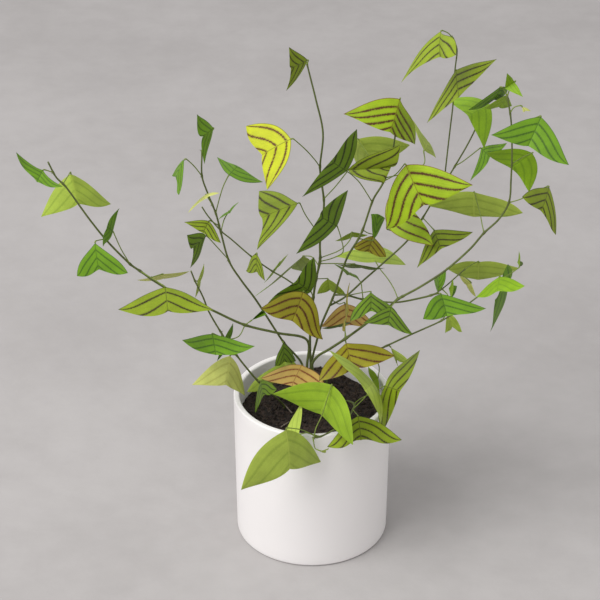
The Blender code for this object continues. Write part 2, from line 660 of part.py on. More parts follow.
def leaf_solid(name, corners, stalk):
    """Make one leaf: a thin blade with triangles alike on both faces, and its petiole."""
    points, triangles, outline = blade_surface(corners)
    normals = point_normals(points, triangles)
    half = BLADE_THICKNESS / 2.0
    shape = bmesh.new()
    upper = [shape.verts.new(point + normal * half) for point, normal in zip(points, normals)]
    lower = [shape.verts.new(point - normal * half) for point, normal in zip(points, normals)]
    for first, second, third in triangles:
        shape.faces.new((upper[first], upper[second], upper[third]))
        shape.faces.new((lower[third], lower[second], lower[first]))
    joint = outline.index(0)
    sides = []
    for neighbour in (outline[joint - 1], outline[(joint + 1) % len(outline)]):
        along_edge = (points[neighbour] - points[0]).normalized()
        sides.append(shape.verts.new(points[0] + along_edge * PETIOLE_RADIUS))
    add_rim(shape, outline, upper, lower, sides[0], sides[1])
    sideways = (stalk[1] - stalk[0]).cross(normals[0])
    if (sides[0].co - points[0]).dot(sideways) < 0.0:
        sides.reverse()
    add_petiole(shape, stalk, [upper[0], sides[0], lower[0], sides[1]])
    bmesh.ops.triangulate(shape, faces=shape.faces)
    bmesh.ops.recalc_face_normals(shape, faces=shape.faces)
    mesh = bpy.data.meshes.new(name)
    shape.to_mesh(mesh)
    shape.free()
    leaf_object = bpy.data.objects.new(name, mesh)
    bpy.context.scene.collection.objects.link(leaf_object)
    return leaf_object


def united(main, others, solver):
    """Join other objects to the main one as a single body, and remove them."""
    group = bpy.data.collections.new(main.name + "_repeats")
    for other in others:
        group.objects.link(other)
    union = main.modifiers.new("Union", "BOOLEAN")
    union.operation = "UNION"
    union.operand_type = "COLLECTION"
    union.collection = group
    union.solver = solver
    graph = bpy.context.evaluated_depsgraph_get()
    whole = bpy.data.meshes.new_from_object(main.evaluated_get(graph))
    main.modifiers.remove(union)
    main.data = whole
    for other in others:
        bpy.data.objects.remove(other)
    bpy.data.collections.remove(group)


def keep_largest_body(main):
    """Drop the loose scraps that a union can leave."""
    shape = bmesh.new()
    shape.from_mesh(main.data)
    left = set(shape.verts)
    bodies = []
    while left:
        body = set()
        queue = [left.pop()]
        while queue:
            vert = queue.pop()
            body.add(vert)
            for edge in vert.link_edges:
                other = edge.other_vert(vert)
                if other in left:
                    left.remove(other)
                    queue.append(other)
        bodies.append(body)
    bodies.sort(key=len, reverse=True)
    for scrap in bodies[1:]:
        bmesh.ops.delete(shape, geom=list(scrap), context="VERTS")
    bmesh.ops.triangulate(shape, faces=shape.faces)
    shape.to_mesh(main.data)
    shape.free()


def material(name, colour, roughness):
    """Make a plain material with a colour and a roughness."""
    made = bpy.data.materials.new(name)
    made.use_nodes = True
    surface = made.node_tree.nodes["Principled BSDF"]
    surface.inputs["Base Color"].default_value = (*colour, 1.0)
    surface.inputs["Roughness"].default_value = roughness
    surface.inputs["Metallic"].default_value = 0.0
    return made


def stem_in_soil(points):
    """Return a stem's points with its straight foot down in the soil put first."""
    foot = points[0]
    top = soil_height(foot.x, foot.y) + STEM_CLEAR_OF_SOIL
    lower = Vector((foot.x, foot.y, SOIL_LEVEL - STEM_DEPTH_IN_SOIL))
    upper = Vector((foot.x, foot.y, top))
    return [lower, upper] + [point for point in points[1:] if point.z > top + 0.002]


def make_leafy_stem(node, colour):
    """Make one leafy stem: its stalks, its petioles and its leaves in one body."""
    stems = [stem for stem in stem_table() if stem.node == node]
    pieces = []
    for stem in stems:
        points = stem_points(stem)
        if stands_in_soil(stem):
            points = stem_in_soil(points)
        last = len(points) - 1
        radii = []
        for place in range(len(points)):
            share = place / last
            radii.append((stem.low_radius * (1.0 - share) + stem.high_radius * share) * MM)
        pieces.append(tube(node, points, radii, STEM_SIDES))
    for leaf in leaves_of(node):
        corners = leaf_corners(leaf)
        pieces.append(leaf_solid(leaf.name, corners, petiole_points(leaf, stems, corners)))
    main = pieces[0]
    main.name = node
    united(main, pieces[1:], "MANIFOLD")
    keep_largest_body(main)
    main.data.materials.clear()
    main.data.materials.append(material(node, colour, 0.5))
    return main


def soil_height(x, y):
    """Return the height of the soil's surface, which is heaped up at the back."""
    away = ((x - MOUND_PLACE[0]) ** 2 + (y - MOUND_PLACE[1]) ** 2) / MOUND_WIDTH ** 2
    return SOIL_LEVEL + MOUND_HEIGHT * math.exp(-away)


def soil_block():
    """Make the soil as an uneven round block that fills the pot."""
    chance = random.Random(7)
    taper = (POT_RIM_RADIUS - POT_FOOT_RADIUS) / POT_HEIGHT
    outer = POT_RIM_RADIUS - POT_WALL - taper * (POT_HEIGHT - SOIL_LEVEL)
    outer = outer * math.cos(math.pi / POT_SIDES) - GAP
    shape = bmesh.new()
    top_centre = shape.verts.new((0.0, 0.0, soil_height(0.0, 0.0)))
    rings = []
    for ring_number in range(1, SOIL_RINGS + 1):
        radius = outer * ring_number / SOIL_RINGS
        ring = []
        for side in range(SOIL_SIDES):
            turn = 2.0 * math.pi * side / SOIL_SIDES
            x = radius * math.cos(turn)
            y = radius * math.sin(turn)
            z = soil_height(x, y) + chance.uniform(-SOIL_ROUGHNESS, SOIL_ROUGHNESS)
            ring.append(shape.verts.new((x, y, z)))
        rings.append(ring)
    foot = []
    narrow = outer - (POT_RIM_RADIUS - POT_FOOT_RADIUS)
    for side in range(SOIL_SIDES):
        turn = 2.0 * math.pi * side / SOIL_SIDES
        foot.append(shape.verts.new((narrow * math.cos(turn), narrow * math.sin(turn), SOIL_BOTTOM)))
    rings.append(foot)
    for side in range(SOIL_SIDES):
        following = (side + 1) % SOIL_SIDES
        shape.faces.new((top_centre, rings[0][side], rings[0][following]))
        for inner, ring in zip(rings, rings[1:]):
            shape.faces.new((inner[side], ring[side], ring[following], inner[following]))
    shape.faces.new(list(reversed(foot)))
    bmesh.ops.triangulate(shape, faces=shape.faces)
    mesh = bpy.data.meshes.new("soil")
    shape.to_mesh(mesh)
    shape.free()
    soil = bpy.data.objects.new("soil", mesh)
    bpy.context.scene.collection.objects.link(soil)
    return soil


def make_soil():
    """Make the soil, with a plain hole for each stem."""
    soil = soil_block()
    for stem in stem_table():
        if not stands_in_soil(stem):
            continue
        foot = stem_points(stem)[0]
        radius = stem.low_radius * MM + HOLE_CLEARANCE
        floor = SOIL_LEVEL - STEM_DEPTH_IN_SOIL - GAP
        height = 0.060
        bpy.ops.mesh.primitive_cylinder_add(
            vertices=HOLE_SIDES, radius=radius, depth=height, location=(foot.x, foot.y, floor + height / 2.0))
        cutter = bpy.context.object
        cut = soil.modifiers.new("Hole", "BOOLEAN")
        cut.operation = "DIFFERENCE"
        cut.object = cutter
        cut.solver = "EXACT"
        graph = bpy.context.evaluated_depsgraph_get()
        whole = bpy.data.meshes.new_from_object(soil.evaluated_get(graph))
        soil.modifiers.remove(cut)
        soil.data = whole
        bpy.data.objects.remove(cutter)
    soil.data.materials.clear()
    soil.data.materials.append(material("soil", SOIL_COLOUR, 0.95))
    return soil


def pot_profile():
    """Return the pot's outline from the middle of its underside up the outside and down the inside."""
    taper = (POT_RIM_RADIUS - POT_FOOT_RADIUS) / POT_HEIGHT
    inner_foot = POT_FOOT_RADIUS + taper * POT_FLOOR - POT_WALL
    inner_rim = POT_RIM_RADIUS - POT_WALL
    lip = POT_LIP_ROUNDING
    foot = POT_FOOT_ROUNDING
    return [
        (0.0, POT_FLOOR), (inner_foot, POT_FLOOR), (inner_rim, POT_HEIGHT - lip),
        (inner_rim + lip, POT_HEIGHT), (POT_RIM_RADIUS - lip, POT_HEIGHT), (POT_RIM_RADIUS, POT_HEIGHT - lip),
        (POT_FOOT_RADIUS, foot), (POT_FOOT_RADIUS - foot * 0.3, foot * 0.3), (POT_FOOT_RADIUS - foot, 0.0),
        (0.0, 0.0),
    ]


def make_pot():
    """Make the pot by turning its outline about the upright axis."""
    mesh = bpy.data.meshes.new("pot")
    shape = bmesh.new()
    corners = [shape.verts.new((radius, 0.0, height)) for radius, height in pot_profile()]
    for first, second in zip(corners, corners[1:]):
        shape.edges.new((first, second))
    shape.to_mesh(mesh)
    shape.free()
    pot = bpy.data.objects.new("pot", mesh)
    bpy.context.scene.collection.objects.link(pot)
    turned = pot.modifiers.new("Turned", "SCREW")
    turned.axis = "Z"
    turned.steps = POT_SIDES
    turned.render_steps = POT_SIDES
    turned.use_merge_vertices = True
    turned.merge_threshold = 0.00005
    turned.use_smooth_shade = True
    pot.data.materials.append(material("pot", POT_COLOUR, 0.35))
    return pot


def remove_old_objects():
    """Empty the scene."""
    for old in list(bpy.data.objects):
        bpy.data.objects.remove(old)


def main():
    """Make every piece of the plant."""
    remove_old_objects()
    make_pot()
    make_soil()
    for node, colour in LEAFY_STEMS:
        make_leafy_stem(node, colour)


if __name__ == "__main__":
    main()
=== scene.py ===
"""The looks of a potted butterfly wing plant: a glazed white pot, dark soil and nine leafy stems."""

import math
import random

import bpy
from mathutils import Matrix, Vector, noise


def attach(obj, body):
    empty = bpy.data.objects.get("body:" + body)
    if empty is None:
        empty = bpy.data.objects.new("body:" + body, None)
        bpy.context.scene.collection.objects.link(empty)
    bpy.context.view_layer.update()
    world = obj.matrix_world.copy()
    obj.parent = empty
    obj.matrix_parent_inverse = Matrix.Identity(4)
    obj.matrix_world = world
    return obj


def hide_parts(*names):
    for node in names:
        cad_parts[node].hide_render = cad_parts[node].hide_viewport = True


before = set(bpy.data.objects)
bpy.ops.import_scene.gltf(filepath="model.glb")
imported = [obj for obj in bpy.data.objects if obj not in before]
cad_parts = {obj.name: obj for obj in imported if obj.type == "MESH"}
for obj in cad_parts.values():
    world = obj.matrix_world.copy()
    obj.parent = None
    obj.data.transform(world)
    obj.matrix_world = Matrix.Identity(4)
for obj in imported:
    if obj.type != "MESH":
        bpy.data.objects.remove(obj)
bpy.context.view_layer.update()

# Sizes shared with the solids, in metres
POT_RIM_RADIUS = 0.0600
POT_FOOT_RADIUS = 0.0587
POT_HEIGHT = 0.1220
POT_WALL = 0.0046
POT_FLOOR = 0.0060
POT_SIDES = 144
SOIL_LEVEL = 0.1030
MOUND_HEIGHT = 0.0085
MOUND_WIDTH = 0.020
MOUND_PLACE = (0.004, 0.044)
PETIOLE_NECK = 0.0016
MIDRIB_SHARE = 0.60
LARGE_WING = 0.036
WING_ALLOWANCE = 1.04
MM = 0.001

# The photograph's camera, found from the pot's edges. Its picture is 600 by 600 pixels.
PICTURE_SIDE = 600.0
PICTURE_CENTRE = 300.0
FOCAL_PIXELS = 2150.0
CAMERA_DISTANCE = 1.600
CAMERA_TILT = math.radians(30.6)
CAMERA_TARGET = Vector((-0.0093, 0.0, 0.2035))

# Finer sizes that only the looks have
BLADE_HALF = 0.00016
PETIOLE_RADIUS = 0.00040
STEM_SIDES = 10
BLADE_ARCH = 0.045


class Look:
    """How one kind of leaf face is coloured: blade, stripes and edge, and how strong each is."""

    def __init__(self, blade, stripe, stripes, edge, edges):
        self.blade = blade
        self.stripe = stripe
        self.stripes = stripes
        self.edge = edge
        self.edges = edges


# Colours as the eye sees them, from 0 to 255
LOOKS = {
    "green": Look((98, 140, 14), (44, 78, 6), 0.75, (40, 76, 8), 0.75),
    "deep": Look((96, 126, 18), (32, 40, 6), 0.95, (38, 56, 8), 0.8),
    "grass": Look((126, 164, 16), (92, 128, 10), 0.45, (104, 140, 20), 0.5),
    "lime": Look((146, 174, 14), (74, 36, 6), 0.97, (112, 62, 16), 0.85),
    "yellow": Look((176, 184, 24), (88, 50, 8), 0.97, (96, 92, 12), 0.85),
    "olive": Look((128, 148, 22), (48, 40, 6), 0.95, (62, 66, 10), 0.85),
    "brown": Look((148, 142, 28), (78, 30, 6), 0.95, (96, 66, 14), 0.85),
    "pink": Look((178, 150, 76), (112, 44, 14), 0.90, (120, 60, 24), 0.8),
    "pale": Look((164, 184, 72), (120, 142, 46), 0.40, (178, 192, 84), 0.5),
    "soft": Look((148, 170, 56), (112, 136, 34), 0.45, (150, 166, 60), 0.5),
    "cream": Look((200, 206, 112), (160, 160, 76), 0.50, (196, 196, 100), 0.5),
    "under": Look((136, 168, 34), (104, 134, 24), 0.45, (140, 170, 50), 0.5),
}
BACK_LOOKS = {
    "green": "under", "deep": "under", "grass": "pale", "lime": "soft", "yellow": "soft", "olive": "soft",
    "brown": "soft", "pink": "soft", "pale": "grass", "soft": "grass", "cream": "lime", "under": "grass",
}
# How far an edge swells at a third and at two thirds of its length, in percent of the wing
EDGE_BENDS = {
    "hollow": (-4, -2),
    "straight": (2, 1),
    "slight": (5, 3),
    "easy": (5, 8),
    "round": (9, 7),
    "early": (14, 7),
    "late": (4, 12),
    "full": (14, 13),
}

# How high the middle of a wing stands above the line to its tip, or hangs below it
ARCHES = {"raised": 1.0, "level": 0.3, "dipped": -0.4, "hanging": -1.0}




class Stem:
    """A woody stem or side branch: pixels across and down, and millimetres behind the axis."""

    def __init__(self, node, route, low_radius, high_radius):
        self.node = node
        self.route = route
        self.low_radius = low_radius
        self.high_radius = high_radius


class Leaf:
    """One leaf: where its petiole joins, its two wing tips and the notch between them.

    Each is a pixel of the photograph. The words say whether left tip, right tip and notch stand
    nearer to the camera than the joint, or farther away, and wing is a real length in millimetres.
    Arch is a word for how the wings bend along their length. Edges are words for the bends of the
    left and right leading edges, then of the left and right trailing ones. The look is that of the
    face that the camera sees. Stripes are the first one's place on the midrib and the step to the
    next, as shares of the midrib.
    """

    def __init__(self, name, base, left, right, notch, behind, ways, stalk, wing=None, midrib=None,
                 arch="raised", edges="round round easy easy", look="green", stripes=(0.24, 0.30)):
        self.name = name
        self.base = base
        self.left = left
        self.right = right
        self.notch = notch
        self.behind = behind
        self.ways = ways.split()
        self.stalk = stalk
        self.wing = wing
        self.midrib = midrib
        self.arch = ARCHES[arch]
        self.edges = ()
        for word in edges.split():
            self.edges = self.edges + EDGE_BENDS[word]
        self.look = look
        self.stripes = stripes


def stem_table():
    """Return every stem and side branch, from the soil to the tip."""
    return [
        Stem("stem_far_left", [
            (308, 411, 11), (308, 395, 12), (307, 367, 13), (307, 340, 13), (278, 333, 3), (245, 325, -3),
            (214, 311, -10), (164, 287, -18), (140, 271, -22), (130, 264, -24), (108, 242, -29),
            (90, 220, -34), (66, 187, -41), (56, 177, -43), (48, 162, -46),
        ], 1.3, 0.7),
        Stem("stem_low_left", [
            (284, 404, 6), (270, 392, -1), (257, 380, -6), (245, 366, -8), (235, 353, -8),
            (222, 334, -6), (209, 312, -5), (203, 297, -9), (195, 281, -14), (191, 271, -18),
        ], 1.0, 0.65),
        Stem("stem_left", [
            (300, 406, 20), (302, 385, 20), (302, 364, 19), (285, 344, 17), (276, 331, 14), (256, 300, 6),
            (241, 280, -4), (229, 261, -11), (221, 233, -17), (216, 214, -21), (208, 194, -25),
            (202, 176, -28), (202, 150, -32),
        ], 1.1, 0.65),
        Stem("stem_centre", [
            (314, 405, 20), (313, 385, 20), (311, 367, 20), (310, 337, 20), (313, 300, 18),
            (316, 280, 15), (320, 260, 12), (320, 243, 9), (324, 205, 4), (322, 185, 0),
            (320, 167, -4), (323, 133, -8), (316, 100, -13), (311, 80, -16), (307, 64, -19),
        ], 1.3, 0.65),
        Stem("stem_centre", [
            (313, 300, 18), (303, 291, 21), (286, 279, 24), (272, 271, 25), (252, 257, 23),
            (231, 239, 19), (221, 231, 15), (208, 216, 10), (202, 207, 8),
        ], 0.7, 0.6),
        Stem("stem_right_centre", [
            (319, 400, 27), (315, 378, 27), (312, 362, 27), (317, 340, 26), (322, 323, 24),
            (334, 295, 20), (347, 258, 16), (361, 234, 14), (373, 200, 12), (383, 183, 10),
            (391, 160, 9), (396, 130, 6), (399, 108, 2),
        ], 1.2, 0.7),
        Stem("stem_right_centre", [
            (334, 295, 20), (346, 295, 17), (361, 299, 13), (384, 302, 7), (400, 302, 3),
            (425, 297, -7), (438, 293, -12),
        ], 0.85, 0.85),
        Stem("stem_right_centre", [
            (329, 306, 22), (345, 297, 27), (365, 279, 31), (381, 265, 34), (408, 240, 38),
            (422, 219, 38), (433, 201, 38), (444, 184, 36), (455, 166, 33), (470, 140, 30), (487, 104, 26),
        ], 0.9, 0.65),
        Stem("stem_right_centre", [
            (444, 184, 36), (446, 165, 31), (450, 130, 24), (453, 104, 19), (455, 70, 14),
            (457, 50, 10), (453, 38, 6),
        ], 0.65, 0.6),
        Stem("stem_right_centre", [
            (436, 293.5, -11.5), (447, 285, -3), (456, 277, 6), (464, 270, 13),
        ], 0.55, 0.55),
        Stem("stem_right", [
            (317, 407, 9), (314, 385, 10), (312, 365, 10), (318, 356, 9), (328, 350, 7), (345, 339, 3),
            (363, 326, -1), (390, 306, -5), (398, 299, -7), (420, 287, -11), (446, 270, -15),
            (470, 249, -19), (484, 233, -22), (499, 219, -25), (509, 202, -28), (511, 180, -30),
            (512, 150, -32), (511, 120, -34), (507, 95, -35),
        ], 1.3, 0.65),
        Stem("stem_low_right", [
            (325, 401, 17), (326, 385, 16), (332, 371, 14), (350, 362, 10), (370, 353, 6), (384, 347, 4),
            (411, 334.5, -2), (428, 327, -4), (441, 321, -6), (458, 311, -9), (476, 298, -12),
            (497, 281, -10),
        ], 1.0, 0.6),
        Stem("stem_front", [
            (338, 411, 2), (340, 404, -3), (347, 401, -9), (354, 404, -18), (353, 410, -29),
            (346, 420, -47), (335, 429, -64), (322, 436, -74), (313, 438, -80),
        ], 1.0, 0.7),
        Stem("stem_short", [(302, 411, 5), (303, 395, 5), (303, 380, 4), (302, 369, 3)], 0.9, 0.7),
    ]


def far_left_leaves():
    """Return the leaves of the far left stem."""
    return [
        Leaf("tip", base=(43, 170), left=(16, 152), right=(63, 186.5), notch=(37, 182),
             behind=-48, ways="near near near", stalk=[(53, 173)],
             arch="hanging", edges="hollow hollow late late", look="green"),
        Leaf("pale", base=(71, 174), left=(41, 217), right=(111, 204), notch=(78, 204),
             behind=-12, ways="near far near", stalk=[(63, 184), (68, 176)],
             arch="level", edges="round slight slight easy", look="soft"),
        Leaf("upright", base=(113, 231.5), left=(119.5, 208), right=(103, 247), notch=(107, 227),
             behind=-32, ways="near near near", stalk=[(130, 264), (121, 249)],
             arch="hanging", edges="slight early round late", look="green"),
        Leaf("dark", base=(95, 243), left=(77, 276), right=(128, 273), notch=(99, 269.5),
             behind=-40, ways="far near far", stalk=[(105, 239)],
             arch="level", edges="easy easy easy easy", look="green"),
        Leaf("large", base=(165, 287), left=(118, 309.5), right=(214, 310), notch=(168, 311),
             behind=-32, ways="near near near", stalk=[(140, 271), (153, 279)],
             arch="dipped", edges="slight round full slight", look="olive", stripes=(0.24, 0.36)),
        Leaf("yellow", base=(163, 274), left=(137, 280), right=(190, 271), notch=(163, 279),
             behind=-10, ways="far far far", stalk=[(150, 278)],
             look="cream"),
        Leaf("low", base=(212, 334), left=(182, 340), right=(255, 346), notch=(216, 355),
             behind=-34, ways="near near near", stalk=[(245, 325), (239, 336), (228, 339)],
             arch="hanging", edges="slight slight easy easy", look="green"),
        Leaf("folded", base=(252, 320), left=(265, 308), right=(266, 315), notch=(263, 312),
             behind=-4, ways="near near near", stalk=[(245, 325)], wing=15,
             edges="round straight easy easy", look="green"),
    ]


def low_left_leaves():
    """Return the leaves of the low left stem."""
    return [
        Leaf("narrow", base=(197.5, 281), left=(195, 298), right=(204, 263), notch=(201, 281),
             behind=-8, ways="far far far", stalk=[(195, 281)],
             look="pale"),
        Leaf("behind", base=(223, 341), left=(217, 361), right=(233, 323), notch=(229, 342),
             behind=4, ways="far far far", stalk=[(221, 332)],
             look="green"),
        Leaf("yellow", base=(230, 356), left=(192, 385), right=(245, 396), notch=(226, 385),
             behind=-22, ways="near far near", stalk=[(237, 355)],
             edges="round round straight straight", look="cream"),
        Leaf("inner", base=(261, 381), left=(255, 413), right=(277, 389), notch=(263, 396),
             behind=-14, ways="far near near", stalk=[(258, 381)],
             arch="level", edges="full round easy late", look="deep"),
    ]


def left_leaves():
    """Return the leaves of the left stem."""
    return [
        Leaf("top", base=(213.5, 128), left=(197, 114), right=(204.5, 164), notch=(203, 136),
             behind=-40, ways="near near near", stalk=[(202, 152), (208, 139)],
             arch="hanging", edges="slight round early slight", look="green"),
        Leaf("small", base=(184, 160), left=(172, 176), right=(179, 195), notch=(176, 179),
             behind=-42, ways="far near far", stalk=[(202, 176), (194, 166)],
             arch="dipped", edges="full easy hollow late", look="green"),
        Leaf("boomerang", base=(206, 194.5), left=(188, 213), right=(220, 193), notch=(207, 198),
             behind=-38, ways="near near near", stalk=[(212, 205)],
             edges="round straight easy easy", look="cream"),
        Leaf("crescent", base=(229, 175), left=(263, 182), right=(217, 157), notch=(238, 166),
             behind=-22, ways="far far far", stalk=[(216, 213), (219, 200), (223, 187)],
             arch="dipped", edges="full slight straight straight", look="green"),
        Leaf("edge", base=(229, 211), left=(218, 220), right=(239, 202), notch=(230, 213),
             behind=-8, ways="near near near", stalk=[(221, 232), (224, 220)],
             look="green"),
        Leaf("middle", base=(209, 221), left=(184, 222), right=(221, 243), notch=(203, 233),
             behind=-28, ways="near near near", stalk=[(218, 226)],
             arch="level", edges="slight slight straight easy", look="olive"),
        Leaf("striped", base=(206, 236), left=(187, 235), right=(190, 268), notch=(193, 247),
             behind=-36, ways="near far near", stalk=[(228, 260), (218, 248)],
             edges="round late full straight", look="deep"),
        Leaf("low", base=(283, 343), left=(275, 366), right=(296, 361), notch=(284, 362),
             behind=8, ways="near far near", stalk=[(284, 342)],
             arch="level", edges="easy round easy easy", look="deep"),
    ]


def centre_leaves():
    """Return the leaves of the centre stem."""
    return [
        Leaf("top", base=(307.5, 60), left=(289, 47), right=(286, 91), notch=(291, 68),
             behind=-22, ways="near far near", stalk=[(307, 64)],
             edges="straight slight round straight", look="olive"),
        Leaf("upper", base=(291, 139), left=(246, 126), right=(267, 190), notch=(262, 155),
             behind=-36, ways="far near far", stalk=[(320, 167), (315, 160), (306, 150)],
             arch="level", edges="full full easy straight", look="yellow", stripes=(0.14, 0.34)),
        Leaf("diagonal", base=(347, 171), left=(357, 129), right=(302, 197), notch=(331, 161),
             behind=-24, ways="near near near", stalk=[(325, 199), (335, 187)],
             arch="level", edges="round straight easy slight", look="deep"),
        Leaf("dark", base=(337, 226), left=(348, 190), right=(296, 254), notch=(320, 216),
             behind=-22, ways="near near near", stalk=[(322, 262), (333, 258), (343, 252), (341, 238)],
             arch="level", edges="straight round full straight", look="deep"),
        Leaf("folded", base=(298, 203), left=(259, 191), right=(257, 250), notch=(262, 218),
             behind=-12, ways="far near near", stalk=[(320, 236), (313, 226), (305, 214)],
             arch="level", edges="easy slight slight hollow", look="olive", stripes=(0.21, 0.29)),
        Leaf("upright", base=(311, 292), left=(314, 257), right=(268, 303), notch=(296, 281),
             behind=8, ways="near near near", stalk=[(313, 298)],
             arch="level", look="deep"),
        Leaf("large", base=(303, 292), left=(261, 308), right=(323, 339.5), notch=(292, 321),
             behind=-6, ways="near far near", stalk=[(313, 306), (309, 298)],
             arch="level", edges="round early easy easy", look="brown", stripes=(0.22, 0.26)),
        Leaf("far_pale", base=(303, 256), left=(254, 297), right=(309, 272), notch=(291, 267),
             behind=34, ways="far far far", stalk=[(320, 266), (312, 257)],
             arch="level", edges="full round straight slight", look="soft"),
        Leaf("far_small", base=(280, 262), left=(264, 283), right=(288, 254), notch=(277, 268),
             behind=36, ways="far far far", stalk=[(273, 271)],
             arch="level", edges="round round full round", look="cream"),
        Leaf("side", base=(257, 254.5), left=(246, 271), right=(265, 281), notch=(257, 272),
             behind=12, ways="far near near", stalk=[(252, 257)],
             arch="level", edges="early round easy straight", look="olive"),
        Leaf("far_arch", base=(328, 279), left=(317, 294), right=(346, 295), notch=(330, 290),
             behind=34, ways="far far far", stalk=[(317, 279)],
             edges="round full straight slight", look="soft"),
        Leaf("far_crescent", base=(352, 232), left=(335, 241), right=(368, 235), notch=(353, 237),
             behind=36, ways="far far far", stalk=[(321, 258), (340, 250), (350, 240)],
             look="soft"),
        Leaf("far_edge", base=(355, 264), left=(337, 264), right=(385, 268), notch=(362, 268),
             behind=25, ways="far far far", stalk=[(321, 264), (335, 263.5)],
             look="deep"),
    ]


def right_centre_leaves():
    """Return the leaves of the right centre stem."""
    return [
        Leaf("pale_behind", base=(358, 139), left=(356, 163), right=(410, 145), notch=(374, 160),
             behind=28, ways="far far far", stalk=[(385, 178), (372, 160)],
             edges="round full easy easy", look="pale"),
        Leaf("yellow", base=(347.5, 170), left=(384, 183), right=(400, 145), notch=(391, 167),
             behind=-14, ways="level near near", stalk=[(372, 202), (360, 183), (352, 175)],
             edges="slight round easy round", look="olive", stripes=(0.12, 0.32)),
        Leaf("top_left", base=(400, 99), left=(343.5, 114), right=(415, 144.5), notch=(390, 132),
             behind=-6, ways="near far near", stalk=[(399, 110)],
             edges="round late slight slight", look="lime", stripes=(0.25, 0.20)),
        Leaf("narrow", base=(424, 150), left=(436, 158), right=(411, 118), notch=(428, 141),
             behind=32, ways="far far far", stalk=[(385, 178), (410, 172), (424, 164)],
             arch="level", edges="straight round easy hollow", look="pale"),
        Leaf("largest", base=(406, 165), left=(386, 229), right=(473, 185), notch=(424, 205),
             behind=-10, ways="far near near", stalk=[(385, 182), (396, 174)],
             edges="round round easy slight", look="lime", stripes=(0.20, 0.25)),
        Leaf("small", base=(374, 239), left=(385, 218), right=(371, 214), notch=(378, 214),
             behind=22, ways="far near near", stalk=[(359, 239), (368, 240)],
             arch="level", edges="slight slight straight straight", look="green"),
        Leaf("brown", base=(373, 236), left=(352, 247), right=(386, 257), notch=(368, 252),
             behind=32, ways="near far near", stalk=[(363, 230), (368, 233)],
             edges="round easy easy easy", look="brown"),
        Leaf("dark_low", base=(371, 292), left=(350, 321), right=(400, 322), notch=(371, 311),
             behind=-12, ways="near near near", stalk=[(348, 295), (360, 293)],
             edges="easy late easy easy", look="deep"),
        Leaf("dark_right", base=(441, 294), left=(423, 319), right=(486, 308.5), notch=(447, 316),
             behind=-18, ways="near near near", stalk=[(438, 293)],
             arch="level", edges="round straight easy easy", look="green"),
        Leaf("bud_leaf", base=(438, 292), left=(446, 271), right=(434, 280), notch=(440, 275),
             behind=-6, ways="near far near", stalk=[(431, 295)],
             arch="dipped", edges="full round easy easy", look="green"),
        Leaf("small_right", base=(451, 298), left=(457, 286), right=(453, 279), notch=(449, 288),
             behind=-10, ways="far near far", stalk=[(442, 289), (447, 294)],
             edges="slight round easy easy", look="green"),
        Leaf("wide_pale", base=(479, 262), left=(446, 268), right=(519, 268), notch=(478, 280),
             behind=24, ways="far far far", stalk=[(464, 270), (471, 265)],
             arch="level", look="pale"),
        Leaf("pale_strip", base=(471, 283), left=(459, 274), right=(476, 297), notch=(466, 285),
             behind=12, ways="far far far", stalk=[(459, 274.5), (466, 278)],
             look="cream"),
        Leaf("far_edge", base=(350, 273), left=(334, 264), right=(359, 279), notch=(347, 275),
             behind=12, ways="near near near", stalk=[(363, 299), (362, 290), (360, 281)],
             look="deep"),
        Leaf("far_pink", base=(345, 304), left=(321, 327), right=(371, 321), notch=(346, 326),
             behind=50, ways="near far near", stalk=[(332, 300), (339, 304)],
             edges="round round straight late", look="pink"),
        Leaf("tallest", base=(441, 31), left=(401, 83), right=(456, 55), notch=(440, 57),
             behind=2, ways="near near near", stalk=[(453, 38), (448, 33)],
             edges="slight late hollow easy", look="olive"),
        Leaf("tall_striped", base=(456, 70), left=(427, 123), right=(497, 59), notch=(459, 97),
             behind=4, ways="near near near", stalk=[(455, 75)],
             arch="level", edges="straight straight straight straight", look="olive", stripes=(0.22, 0.26)),
        Leaf("plain", base=(490, 105), left=(450, 99), right=(484, 149), notch=(468, 116),
             behind=20, ways="far near near", stalk=[(487, 106)],
             edges="full round easy straight", look="grass"),
        Leaf("dark_high", base=(481, 148), left=(470, 181), right=(507, 143), notch=(490, 157),
             behind=16, ways="near near near", stalk=[(455, 166), (462, 162), (470, 156)],
             arch="dipped", edges="hollow slight round easy", look="green"),
        Leaf("behind_largest", base=(388, 228), left=(433, 246), right=(400, 182), notch=(414, 211),
             behind=14, ways="near far near", stalk=[(412, 235), (400, 233)],
             edges="round full easy easy", look="lime"),
        Leaf("olive", base=(434, 230), left=(417, 268), right=(473, 232), notch=(441, 249),
             behind=20, ways="near near near", stalk=[(423, 218)],
             arch="level", edges="slight straight straight easy", look="olive"),
    ]


